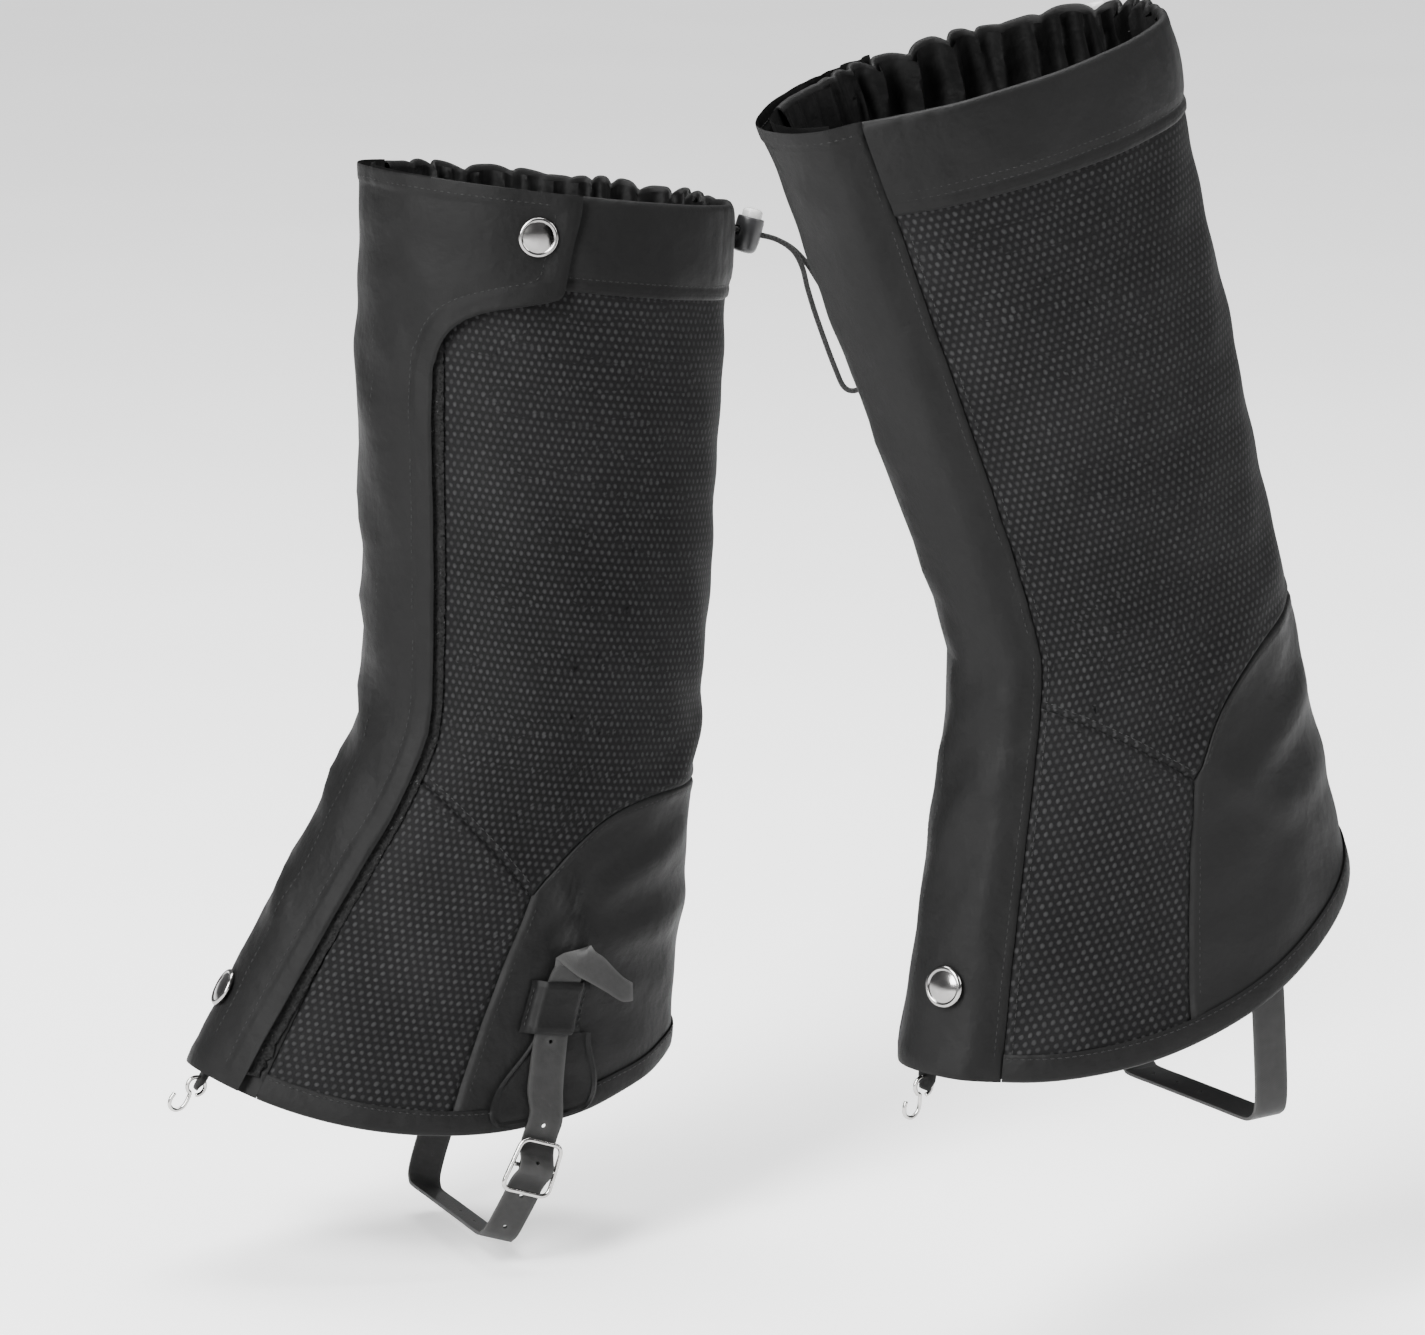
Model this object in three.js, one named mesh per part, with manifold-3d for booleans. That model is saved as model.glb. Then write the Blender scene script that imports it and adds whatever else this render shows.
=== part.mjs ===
// A pair of hiking gaiters in the worn pose: the left one upright, the right one in mid stride.
// Units are millimetres, +Z is up and the toes point to -X. Each gaiter is drawn once, as a left
// one, in a frame of its own: u is the angle round the leg in degrees (0 front, 90 outer side,
// 180 back), z is the height above the ground and "off" is the distance out from the cloth's face.
import * as THREE from 'three';
import Module from 'manifold-3d';
import { mergeVertices } from 'three/addons/utils/BufferGeometryUtils.js';

const wasm = await Module();
wasm.setup();
const { lerp, clamp, degToRad, smoothstep } = THREE.MathUtils;

// Driving dimensions of the shell
const RIM_Z = 460;            // top edge
const COLLAR_Z = 424;         // stitched lower edge of the collar band
const ANKLE_Z = 225;          // height of the bend over the instep
const ANKLE_SOFTNESS = 14;
const SHIN_X = -78;           // front of the shell at the ankle bend
const SHIN_FLARE = 42;        // how much further forward the rim is than the ankle
const INSTEP_SLOPE = 22.5;    // degrees forward from vertical, below the ankle
const HEEL_X = 70;            // back of the shell at the hem
const CALF_X = 54;            // back of the shell at the rim
const HALF_WIDTH = { hem: 57, ankle: 49, rim: 53 };
const TOE_TAPER = 0.12;       // the hem's plan narrows towards the toes
const HEM_Z = { front: 69, side: 58, back: 94 };
const FABRIC = 0.9;           // one layer of cloth with its backing
const SEAM_GAP = 0.3;

// Panels, as angles round the leg
const OUTER_EDGE_U = 35;      // front edge of the panels on the outer side
const INNER_SEAM_U = 36;      // the flap is sewn to the panels here, on the inner side
const RING_END_U = 360 - INNER_SEAM_U - SEAM_GAP;
const HEEL_SEAM_U = 89;       // the heel panel starts here, where the diagonal seam meets it
const HEEL_SEAM_Z = { corner: 161, back: 211 };
const DIAGONAL_Z = 206;       // the diagonal seam's height at the front
const BINDING = { height: 10, thickness: 0.6 };

// Front flap and its fastening
const FLAP_OFF = 4.4;         // the flap rides over the hook and loop strips
const FLAP_RISE_U = 14;
const UNDERLAP_U = -24;
const FLAP_EDGE = [[69, 29], [110, 31], [160, 34], [205, 37], [375, 37], [392, 40], [403, 46], [410, 55],
  [418, 78], [440, 82], [460, 86]];                       // [z, u] of the free edge, with the top tab
const LOOP_OFF = [0.3, 1.9];
const HOOK_OFF = [2.4, 3.9];
const STRIP_U = [7, 33];
const STRIP_TOP_Z = 400;
const TOP_SNAP = { u: 71, z: 441, capRadius: 8.5, studTop: 0.7 };
const LOWER_SNAP = { z: 101, capRadius: 8.5, studTop: 3.2 };   // u is lowerSnapU, below
const SNAP_POST = 1.3;

// Drawcord in its channel, loop and cord lock
const CORD = { diameter: 2.4, z: 448, off: -0.1, runEndU: 44 };
const CHANNEL_OFF = 1.6;      // the collar stands this far out over the cord
const LINING_OFF = -1.8;
const EYELET = { hole: 3.2, radius: 5, thickness: 0.8 };
const LOOP = { reach: 104, straight: 22, bendRadius: 25, strandGap: 1.6, halfWidth: 6.2 };
const LOCK = { radius: 6, bottom: -9, top: 6.5, wall: 1.3, at: 10.5, buttonRise: 4, travel: 2.6 };
const LOCK_FLOOR = 1.5;
const CORD_SLOT = { width: 6.6, height: 3.4, length: 30 };
const PLUNGER_FOOT = -2.8;
const SPRING = { turns: 2, radius: 3, pitch: 0.55, wire: 0.5 };

// Strap under the boot, its buckle, keeper and patch
const STIRRUP = { x: -6, z: 62, swing: 10, width: 16, thickness: 1.4, drop: 54, halfSpan: 42 };
const STRAP_Y = -59.6;
const BUCKLE = { y: -62, z: -17, width: 24, height: 25, wire: 2.2, corner: 5 };
const KEEPER = { u: 104, z: 114, width: 29, height: 22 };
const TAIL_OFF = 2.4;
const PATCH = { u: 108, topHalf: 8, bottomHalf: 15, topZ: 101, off: 1.2 };
const LACE_TAB = { width: 14, above: 12, below: 8, off: -3.4, hole: 2.4 };
const HOOK_WIRE = 1.8;

// How each gaiter is worn: lean turns it about its own ankle, and turn is the way the toes point.
// lowerSnapU is where the lower snap sits round each one.
const ANKLE_PIVOT = 80;
const WORN = [
  { side: 'left', mirrored: false, at: [0, 0, 0], turn: 0, lean: 8, cinch: 0.91,
    cordU: 180, cordDrop: [-8, -57], lowerSnapU: -3 },
  { side: 'right', mirrored: true, at: [217, -233, 91], turn: 8.5, lean: -13, cinch: 1,
    cordU: 150, cordDrop: [-4, -96], lowerSnapU: -13 },
];

const CLOTH = { color: 0x2c2c2e, roughness: 0.8, metalness: 0 };
const KNIT = { color: 0x262627, roughness: 0.9, metalness: 0 };
const TRIM = { color: 0x1d1d1e, roughness: 0.85, metalness: 0 };
const STRAP = { color: 0x464644, roughness: 0.6, metalness: 0 };
const NICKEL = { color: 0xb9b7b2, roughness: 0.25, metalness: 1 };
const STEEL = { color: 0x8f8f8c, roughness: 0.35, metalness: 1 };
const LOCK_BLACK = { color: 0x222224, roughness: 0.5, metalness: 0 };
const BUTTON_GREY = { color: 0xb4b4b2, roughness: 0.35, metalness: 0 };

// ---------------------------------------------------------------- the shell's surface

const rowsBetween = (low, high, count) => {
  return Array.from({ length: count + 1 }, (_, i) => lerp(low, high, i / count));
};

function frontX(z) {
  const below = ANKLE_SOFTNESS * Math.log1p(Math.exp((ANKLE_Z - z) / ANKLE_SOFTNESS));
  const flare = SHIN_FLARE * Math.max(z - ANKLE_Z, 0) / (RIM_Z - ANKLE_Z);
  return SHIN_X - flare - below * Math.tan(degToRad(INSTEP_SLOPE));
}

function halfWidth(z) {
  if (z > ANKLE_Z) return lerp(HALF_WIDTH.ankle, HALF_WIDTH.rim, smoothstep(z, ANKLE_Z, 342));
  return lerp(HALF_WIDTH.ankle, HALF_WIDTH.hem, ((ANKLE_Z - z) / (ANKLE_Z - 60)) ** 2);
}

function cloth(u, z, cinch) {
  const angle = degToRad(u);
  const back = lerp(HEEL_X, CALF_X, (z - 60) / 400);
  const gathered = lerp(1, cinch, clamp((z - 220) / 240, 0, 1) ** 2);
  const depth = (back - frontX(z)) / 2;
  const taper = TOE_TAPER * clamp((ANKLE_Z - z) / 120, 0, 1);
  const x = (back + frontX(z)) / 2 - depth * gathered * Math.cos(angle);
  const y = -halfWidth(z) * Math.sin(angle) * (1 - taper * Math.cos(angle));
  return new THREE.Vector3(x, y, z);
}

// Frame on the cloth: x runs round the leg, y up it and z straight out
function seat(u, z, off, cinch) {
  const round = cloth(u + 0.2, z, cinch).sub(cloth(u - 0.2, z, cinch)).normalize();
  const up = cloth(u, z + 0.5, cinch).sub(cloth(u, z - 0.5, cinch)).normalize();
  const out = new THREE.Vector3().crossVectors(round, up).normalize();
  up.crossVectors(out, round);
  const origin = cloth(u, z, cinch).addScaledVector(out, off);
  return new THREE.Matrix4().makeBasis(round, up, out).setPosition(origin);
}

const onCloth = (u, z, off, cinch) => new THREE.Vector3().setFromMatrixPosition(seat(u, z, off, cinch));

function hemZ(u) {
  const c = Math.cos(degToRad(u));
  const bow = (HEM_Z.front + HEM_Z.back) / 2 - HEM_Z.side;
  return HEM_Z.side + (HEM_Z.front - HEM_Z.back) / 2 * c + bow * c * c;
}

// The diagonal seam falls from the front to the heel panel's corner, then the heel seam rises to the back
function seamZ(u) {
  const away = Math.min(u, 360 - u);
  if (away >= HEEL_SEAM_U) {
    const rise = HEEL_SEAM_Z.back - HEEL_SEAM_Z.corner;
    return HEEL_SEAM_Z.back - rise * Math.exp((HEEL_SEAM_U - away) / 16);
  }
  const t = (away - INNER_SEAM_U) / (HEEL_SEAM_U - INNER_SEAM_U);
  return DIAGONAL_Z - 24 * t - 21 * t * t;
}

// Below its corner the heel seam drops almost straight to the hem, drifting a little to the front
const heelDrift = (z) => -4 * Math.max(0, 1 - ((z - 60) / 101) ** 2);

function flapEdgeU(z) {
  const next = Math.max(FLAP_EDGE.findIndex(([height]) => height >= z), 1);
  const [z0, u0] = FLAP_EDGE[next - 1];
  const [z1, u1] = FLAP_EDGE[next];
  return lerp(u0, u1, clamp((z - z0) / (z1 - z0), 0, 1));
}

const flapOff = (u) => FLAP_OFF * smoothstep(u, -INNER_SEAM_U, -INNER_SEAM_U + FLAP_RISE_U);

// ---------------------------------------------------------------- solids

// A closed sheet from a grid of outer points and the inner points behind them
function sheet(columns, rows, outer, inner) {
  const points = [];
  for (const layer of [outer, inner]) {
    for (let j = 0; j <= rows; j++) for (let i = 0; i <= columns; i++) points.push(layer(i, j));
  }
  const at = (i, j, layer) => layer * (columns + 1) * (rows + 1) + j * (columns + 1) + i;
  const faces = [];
  const quad = (a, b, c, d) => faces.push(a, b, c, a, c, d);
  for (let j = 0; j < rows; j++) {
    for (let i = 0; i < columns; i++) {
      quad(at(i, j, 0), at(i + 1, j, 0), at(i + 1, j + 1, 0), at(i, j + 1, 0));
      quad(at(i, j, 1), at(i, j + 1, 1), at(i + 1, j + 1, 1), at(i + 1, j, 1));
    }
    quad(at(0, j, 0), at(0, j + 1, 0), at(0, j + 1, 1), at(0, j, 1));
    quad(at(columns, j + 1, 0), at(columns, j, 0), at(columns, j, 1), at(columns, j + 1, 1));
  }
  for (let i = 0; i < columns; i++) {
    quad(at(i + 1, 0, 0), at(i, 0, 0), at(i, 0, 1), at(i + 1, 0, 1));
    quad(at(i, rows, 0), at(i + 1, rows, 0), at(i + 1, rows, 1), at(i, rows, 1));
  }
  const geometry = new THREE.BufferGeometry().setFromPoints(points);
  geometry.setIndex(faces);
  return geometry;
}

// A panel of one cloth layer: place gives [u, z] for the fractions across and up it
function panel(columns, rows, place, cinch, offOut = 0, offIn = offOut - FABRIC) {
  const layer = (off) => (i, j) => {
    const [u, z] = place(i / columns, j / rows);
    return onCloth(u, z, typeof off === 'function' ? off(u) : off, cinch);
  };
  return sheet(columns, rows, layer(offOut), layer(offIn));
}

// A band round the leg with a folded section: each fold is [z out, off out, z in, off in]
function band(angles, folds, cinch, base = () => 0) {
  const outer = (i, j) => onCloth(angles[i], base(angles[i]) + folds[j][0], folds[j][1], cinch);
  const inner = (i, j) => onCloth(angles[i], base(angles[i]) + folds[j][2], folds[j][3], cinch);
  return sheet(angles.length - 1, folds.length - 1, outer, inner);
}

// A strap along a path in the y-z plane, width measured along x
function ribbon(path, width, thickness) {
  const spot = (j) => new THREE.Vector3(0, ...path[clamp(j, 0, path.length - 1)]);
  const face = (side) => (i, j) => {
    const along = spot(j + 1).sub(spot(j - 1)).normalize();
    const out = new THREE.Vector3(0, -along.z, along.y).multiplyScalar(side * thickness / 2);
    return spot(j).add(out).setX((0.5 - i) * width);
  };
  return outward(sheet(1, path.length - 1, face(1), face(-1)));
}

function outward(geometry) {
  const solid = mergeVertices(bare(geometry), 1e-4);
  const p = solid.attributes.position;
  const faces = solid.index.array;
  const corner = (k) => new THREE.Vector3().fromBufferAttribute(p, faces[k]);
  let volume = 0;
  for (let k = 0; k < faces.length; k += 3) volume += corner(k).dot(corner(k + 1).cross(corner(k + 2)));
  return volume < 0 ? flipped(solid) : solid;
}

function flipped(geometry) {
  const faces = geometry.index.array;
  for (let k = 0; k < faces.length; k += 3) [faces[k], faces[k + 1]] = [faces[k + 1], faces[k]];
  return geometry;
}

function bare(geometry) {
  const plain = new THREE.BufferGeometry().setAttribute('position', geometry.attributes.position.clone());
  if (geometry.index) plain.setIndex(geometry.index.clone());
  return plain;
}

function toSolid(geometry) {
  const merged = outward(geometry);
  const vertProperties = new Float32Array(merged.attributes.position.array);
  const triVerts = new Uint32Array(merged.index.array);
  return new wasm.Manifold(new wasm.Mesh({ numProp: 3, vertProperties, triVerts }));
}

function toGeometry(solid) {
  const mesh = solid.getMesh();
  const geometry = new THREE.BufferGeometry();
  geometry.setAttribute('position', new THREE.BufferAttribute(new Float32Array(mesh.vertProperties), 3));
  geometry.setIndex(Array.from(mesh.triVerts));
  return geometry;
}

function cut(geometry, ...tools) {
  return toGeometry(tools.reduce((solid, tool) => solid.subtract(toSolid(tool)), toSolid(geometry)));
}

// A turned piece: profile is [radius, height], starts and ends on the axis, and z points out
function turned(profile, segments = 20) {
  const points = profile.map(([r, h]) => new THREE.Vector2(r, h));
  return outward(new THREE.LatheGeometry(points, segments).rotateX(Math.PI / 2));
}

function plate(outline, thickness, holes = []) {
  const shape = new THREE.Shape(outline.map(([x, y]) => new THREE.Vector2(x, y)));
  shape.holes = holes;
  return new THREE.ExtrudeGeometry(shape, { depth: thickness, bevelEnabled: false, curveSegments: 6 });
}

function wire(points, diameter, steps, sides = 8) {
  const section = new THREE.Shape();
  for (let k = 0; k < sides; k++) {
    const angle = 2 * Math.PI * k / sides;
    section[k ? 'lineTo' : 'moveTo'](diameter / 2 * Math.cos(angle), diameter / 2 * Math.sin(angle));
  }
  const extrudePath = new THREE.CatmullRomCurve3(points, false, 'centripetal');
  return new THREE.ExtrudeGeometry(section, { steps, extrudePath, bevelEnabled: false });
}

// ---------------------------------------------------------------- cloth pieces

function calfPanel(cinch) {
  const angles = [...rowsBetween(OUTER_EDGE_U, HEEL_SEAM_U, 5),
    ...rowsBetween(HEEL_SEAM_U, 360 - HEEL_SEAM_U, 14).slice(1),
    ...rowsBetween(360 - HEEL_SEAM_U, RING_END_U, 5).slice(1)];
  const columns = angles.length - 1;
  const levels = [...FRONT_Z.filter((z) => z > HEEL_SEAM_Z.back), 375, COLLAR_Z];
  const place = (s, t) => {
    const u = angles[Math.round(s * columns)];
    const j = Math.round(t * levels.length);
    return [u, j ? levels[j - 1] : seamZ(u) + SEAM_GAP];
  };
  return panel(columns, levels.length, place, cinch);
}

// The rows of an instep panel, as fractions of its height, level with the flap's rows beside it
const INSTEP_ROWS = [0, 0.33, 0.66, 0.88, 1];

const instepPlace = (inner) => (s, t) => {
  const front = inner ? INNER_SEAM_U + SEAM_GAP : OUTER_EDGE_U;
  const back = inner ? 1 - s : s;
  const across = lerp(front, HEEL_SEAM_U, back);
  const height = INSTEP_ROWS[Math.round(t * (INSTEP_ROWS.length - 1))];
  const z = lerp(hemZ(across) + 2, seamZ(across) - SEAM_GAP, height);
  const u = across + (heelDrift(z) - SEAM_GAP) * back;
  return [inner ? 360 - u : u, z];
};

const instepPanel = (cinch, inner) => panel(5, INSTEP_ROWS.length - 1, instepPlace(inner), cinch);

function heelPlace(s, t) {
  const across = lerp(HEEL_SEAM_U, 360 - HEEL_SEAM_U, s);
  const z = lerp(hemZ(across) + 2, seamZ(across) - SEAM_GAP, t);
  return [across + heelDrift(z) * (1 - 2 * s), z];
}

const heelPanel = (cinch) => panel(14, 4, heelPlace, cinch);

function hemBinding(cinch) {
  const { height, thickness } = BINDING;
  const inside = -FABRIC - SEAM_GAP;
  const folds = [
    [height, inside - thickness, height, inside],
    [0, inside - thickness, thickness + 0.5, inside],
    [0, SEAM_GAP + thickness, thickness + 0.5, SEAM_GAP],
    [height, SEAM_GAP + thickness, height, SEAM_GAP],
  ];
  const fifths = [0, 0.2, 0.4, 0.6, 0.8];
  const angles = [
    ...fifths.map((s) => instepPlace(false)(s, 0)[0]),
    ...rowsBetween(0, 1, 14).map((s) => heelPlace(s, 0)[0]),
    ...fifths.map((s) => instepPlace(true)(s + 0.2, 0)[0]),
  ];
  return band(angles, folds, cinch, hemZ);
}

// Heights shared by the layers stacked at the front, so that their facets lie side by side
const FRONT_Z = [115, 160, 190, 206, 225, 242, 265, 320];
const TAB_Z = [375, 392, 403, 410, 418, 440];

function frontRows(top, more = []) {
  const levels = [...FRONT_Z, ...more];
  return { count: levels.length + 1, z: (j, low) => (j === 0 ? low : levels[j - 1] ?? top) };
}

function underlap(cinch, lowerSnap) {
  const rows = frontRows(RIM_Z, [375]);
  const columns = 7;
  const place = (s, t) => {
    const u = lerp(UNDERLAP_U, OUTER_EDGE_U - SEAM_GAP, s);
    return [u, rows.z(Math.round(t * rows.count), hemZ(u))];
  };
  const blank = panel(columns, rows.count, place, cinch);
  return cut(blank, postHole(lowerSnap, 0, cinch));
}

function closureStrip([offIn, offOut], cinch) {
  const rows = frontRows(STRIP_TOP_Z, [375]);
  const place = (s, t) => {
    const j = Math.round(t * rows.count);
    const z = rows.z(j, HEM_Z.front + 12);
    return [lerp(STRIP_U[0], Math.min(STRIP_U[1], flapEdgeU(z) - 2), s), z];
  };
  return panel(4, rows.count, place, cinch, offOut, offIn);
}

function frontFlap(cinch, lowerSnap) {
  const rows = frontRows(RIM_Z, TAB_Z);
  const columns = 11;
  const place = (s, t) => {
    const j = Math.round(t * rows.count);
    const z = rows.z(j, hemZ(lerp(-INNER_SEAM_U, flapEdgeU(HEM_Z.front), s)));
    return [lerp(-INNER_SEAM_U, flapEdgeU(z), s), z];
  };
  const blank = panel(columns, rows.count, place, cinch, (u) => flapOff(u) + FABRIC, flapOff);
  return cut(blank, postHole(TOP_SNAP, FLAP_OFF, cinch), postHole(lowerSnap, FLAP_OFF, cinch));
}

function collar(cinch, cordU) {
  const out = CHANNEL_OFF + FABRIC;
  const folds = [
    [COLLAR_Z - 4, SEAM_GAP + FABRIC, COLLAR_Z - 4, SEAM_GAP],
    [COLLAR_Z + 6, out, COLLAR_Z + 6, CHANNEL_OFF],
    [RIM_Z, out, RIM_Z - FABRIC, CHANNEL_OFF],
    [RIM_Z, LINING_OFF, RIM_Z - FABRIC, LINING_OFF],
  ];
  const blank = band(rowsBetween(OUTER_EDGE_U, RING_END_U, 30), folds, cinch);
  const exit = new THREE.CylinderGeometry(EYELET.hole, EYELET.hole, 6, 16).rotateX(Math.PI / 2);
  exit.applyMatrix4(seat(cordU, CORD.z, out, cinch));
  return cut(blank, postHole(TOP_SNAP, CHANNEL_OFF, cinch), exit);
}

function collarLining(cinch) {
  const deep = LINING_OFF - FABRIC;
  const folds = [
    [400, -FABRIC - SEAM_GAP, 400, -2 * FABRIC - SEAM_GAP],
    [COLLAR_Z + 6, LINING_OFF, COLLAR_Z + 6, deep],
    [RIM_Z - FABRIC - SEAM_GAP, LINING_OFF, RIM_Z - FABRIC - SEAM_GAP, deep],
  ];
  return band(rowsBetween(OUTER_EDGE_U, RING_END_U, 22), folds, cinch);
}

// ---------------------------------------------------------------- snap fasteners

function postHole(snap, offIn, cinch) {
  const drill = new THREE.CylinderGeometry(SNAP_POST + 0.4, SNAP_POST + 0.4, 4, 12).rotateX(Math.PI / 2);
  return drill.applyMatrix4(seat(snap.u, snap.z, offIn + FABRIC / 2, cinch));
}

function snapStud(snap, offOut, cinch) {
  const back = -FABRIC - 2 * SEAM_GAP;
  const profile = [[0, back - 0.6], [3.5, back - 0.6], [3.5, back], [SNAP_POST, back], [SNAP_POST, SEAM_GAP],
    [4.5, SEAM_GAP], [4.5, 0.7], [2.2, 0.7], [2.2, snap.studTop], [0, snap.studTop]];
  const unique = profile.filter(([r, h], k) => k === 0 || r !== profile[k - 1][0] || h !== profile[k - 1][1]);
  return turned(unique, 12).applyMatrix4(seat(snap.u, snap.z, offOut, cinch));
}

function snapCap(snap, cinch) {
  const back = -FABRIC - 2 * SEAM_GAP;
  const rim = snap.capRadius;
  const profile = [[0, back - 0.6], [4.5, back - 0.6], [4.5, back], [SNAP_POST, back], [SNAP_POST, SEAM_GAP],
    [rim, SEAM_GAP], [rim, 1.1], [rim * 0.86, 2.1], [rim * 0.5, 2.7], [0, 2.9]];
  return turned(profile, 16).applyMatrix4(seat(snap.u, snap.z, FLAP_OFF + FABRIC, cinch));
}

// ---------------------------------------------------------------- drawcord and its lock

function cordRun(cinch) {
  const angles = rowsBetween(CORD.runEndU, 360 - CORD.runEndU, 42);
  return wire(angles.map((u) => onCloth(u, CORD.z, CORD.off, cinch)), CORD.diameter, 42, 6);
}

function cordEyelet(cinch, cordU) {
  const { hole, radius, thickness } = EYELET;
  const profile = [[hole, SEAM_GAP], [radius, SEAM_GAP], [radius - 0.3, thickness + SEAM_GAP],
    [hole + 0.2, thickness + SEAM_GAP], [hole, SEAM_GAP]];
  return turned(profile, 14).applyMatrix4(seat(cordU, CORD.z, CHANNEL_OFF + FABRIC, cinch));
}

// Route of the free loop, with x straight out of the eyelet and z up. It leaves straight, bends
// down by its own weight, opens to a drop shape and comes back beside itself.
function loopRoute([leave, hang]) {
  const { reach, straight, bendRadius, strandGap, halfWidth: half } = LOOP;
  const bend = bendRadius * degToRad(leave - hang);
  const heading = (s) => degToRad(lerp(leave, hang, clamp((s - straight) / bend, 0, 1)));
  const middle = (s) => {
    const spot = new THREE.Vector3();
    for (let k = 0; k < 100; k++) {
      const angle = heading(s * (k + 0.5) / 100);
      spot.add(new THREE.Vector3(Math.cos(angle), 0, Math.sin(angle)).multiplyScalar(s / 100));
    }
    return spot;
  };
  const spread = (s) => {
    const fromTip = reach - s;
    if (fromTip < half) return Math.sqrt(half ** 2 - (half - fromTip) ** 2);
    return lerp(strandGap, half, smoothstep(s, straight, reach - half));
  };
  const aside = (s, sign) => {
    const twist = Math.PI / 2 * smoothstep(s, straight, straight + 40);
    const angle = heading(s);
    const across = new THREE.Vector3(-Math.sin(angle), 0, Math.cos(angle)).multiplyScalar(Math.sin(twist));
    return across.add(new THREE.Vector3(0, Math.cos(twist), 0)).multiplyScalar(sign * spread(s));
  };
  const stations = [0, 8, 16, 24, 33, 42, 52, 62, 72, 82, 91, reach - half, reach - 2.6, reach - 0.7];
  const strand = (sign) => stations.map((s) => middle(s).add(aside(s, sign)));
  return [...strand(1), middle(reach), ...strand(-1).reverse()];
}

// The way through the lock for the cord's two strands, between two heights
function cordSlot(low, high) {
  const { width, length } = CORD_SLOT;
  return new THREE.BoxGeometry(length, width, high - low).translate(0, 0, (low + high) / 2);
}

function lockBarrel() {
  const { radius, bottom, top, wall } = LOCK;
  const floor = bottom + LOCK_FLOOR;
  const bore = radius - wall;
  const profile = [[0, bottom], [radius - 2, bottom], [radius - 0.4, bottom + 1.6], [radius, 0],
    [radius, top - 1], [radius - 0.6, top], [bore, top], [bore, floor], [0, floor]];
  return cut(turned(profile, 16), cordSlot(-CORD_SLOT.height / 2, CORD_SLOT.height / 2));
}

function lockPlunger() {
  const radius = LOCK.radius - LOCK.wall - SEAM_GAP;
  const tip = LOCK.top + LOCK.buttonRise;
  const profile = [[0, PLUNGER_FOOT], [radius, PLUNGER_FOOT], [radius, tip - 1.4], [radius - 1.2, tip - 0.3],
    [0, tip]];
  const low = -CORD_SLOT.height / 2;
  const high = CORD.diameter / 2 + LOCK.travel + 0.4;
  return cut(turned(profile, 16), cordSlot(low, high));
}

function lockSpring() {
  const { turns, radius, pitch, wire: diameter } = SPRING;
  const low = LOCK.bottom + LOCK_FLOOR + diameter;
  const points = rowsBetween(0, turns, turns * 8).map((t) => {
    const angle = 2 * Math.PI * t;
    return new THREE.Vector3(radius * Math.cos(angle), radius * Math.sin(angle), low + pitch * t);
  });
  return wire(points, diameter, turns * 8, 6);
}

// ---------------------------------------------------------------- strap, buckle, keeper, lace hook

function stirrupStrap() {
  const { drop, halfSpan, width, thickness } = STIRRUP;
  const y = STRAP_Y;
  // [y, z]: down the outer side and round the buckle's bar, under the boot, and up the inner side
  const path = [[y, 7.8], [y, 5.6], [y, 3], [y, -7.5], [y - 2.6, -11.5], [y - 6, -15], [y - 6, -19],
    [y - 2.6, -22.5], [y + 0.1, -26.5], [y + 1.5, -31], [y + 6, -41], [y + 10, -49], [-46, -52.5],
    [-halfSpan, -drop], [-halfSpan / 2, -drop], [0, -drop], [halfSpan / 2, -drop], [halfSpan, -drop],
    [47, -52.5], [50.5, -49], [52, -40], [52, -20], [51.5, 0], [51, 8]];
  const strip = ribbon(path, width, thickness);
  const block = new THREE.BoxGeometry(40, 6, 16).translate(0, y, 8);
  const rounded = new THREE.CylinderGeometry(width / 2, width / 2, 12, 24).translate(0, y, 0);
  return cut(strip, cut(block, rounded));
}

function buckleTab() {
  const bar = [BUCKLE.y, BUCKLE.z];
  const r = BUCKLE.wire / 2 + 1.1;
  const path = [[-58, -5.6], [-58.6, -11], [bar[0] + r, bar[1]]];
  for (const angle of [-45, -90, -135, -180]) {
    path.push([bar[0] + r * Math.cos(degToRad(angle)), bar[1] + r * Math.sin(degToRad(angle))]);
  }
  return ribbon(path, 12, 0.7);
}

function buckleFrame() {
  const { width, height, wire: bar, corner } = BUCKLE;
  const rounded = (w, h, r, low = -h / 2) => {
    const shape = new THREE.Shape();
    shape.moveTo(-w / 2 + r, low);
    shape.lineTo(w / 2 - r, low);
    shape.absarc(w / 2 - r, low + r, r, -Math.PI / 2, 0);
    shape.absarc(w / 2 - r, low + h - r, r, 0, Math.PI / 2);
    shape.absarc(-w / 2 + r, low + h - r, r, Math.PI / 2, Math.PI);
    shape.absarc(-w / 2 + r, low + r, r, Math.PI, 1.5 * Math.PI);
    return shape;
  };
  const frame = rounded(width, height, corner);
  const window = (height - 3 * bar) / 2;
  const inside = width - 2 * bar;
  frame.holes = [bar / 2, -bar / 2 - window].map((low) => rounded(inside, window, 2.4, low));
  const flat = new THREE.ExtrudeGeometry(frame, { depth: bar, bevelEnabled: false, curveSegments: 3 });
  return outward(flat.translate(0, 0, -bar / 2).rotateX(Math.PI / 2)).translate(0, BUCKLE.y, BUCKLE.z);
}

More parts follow.
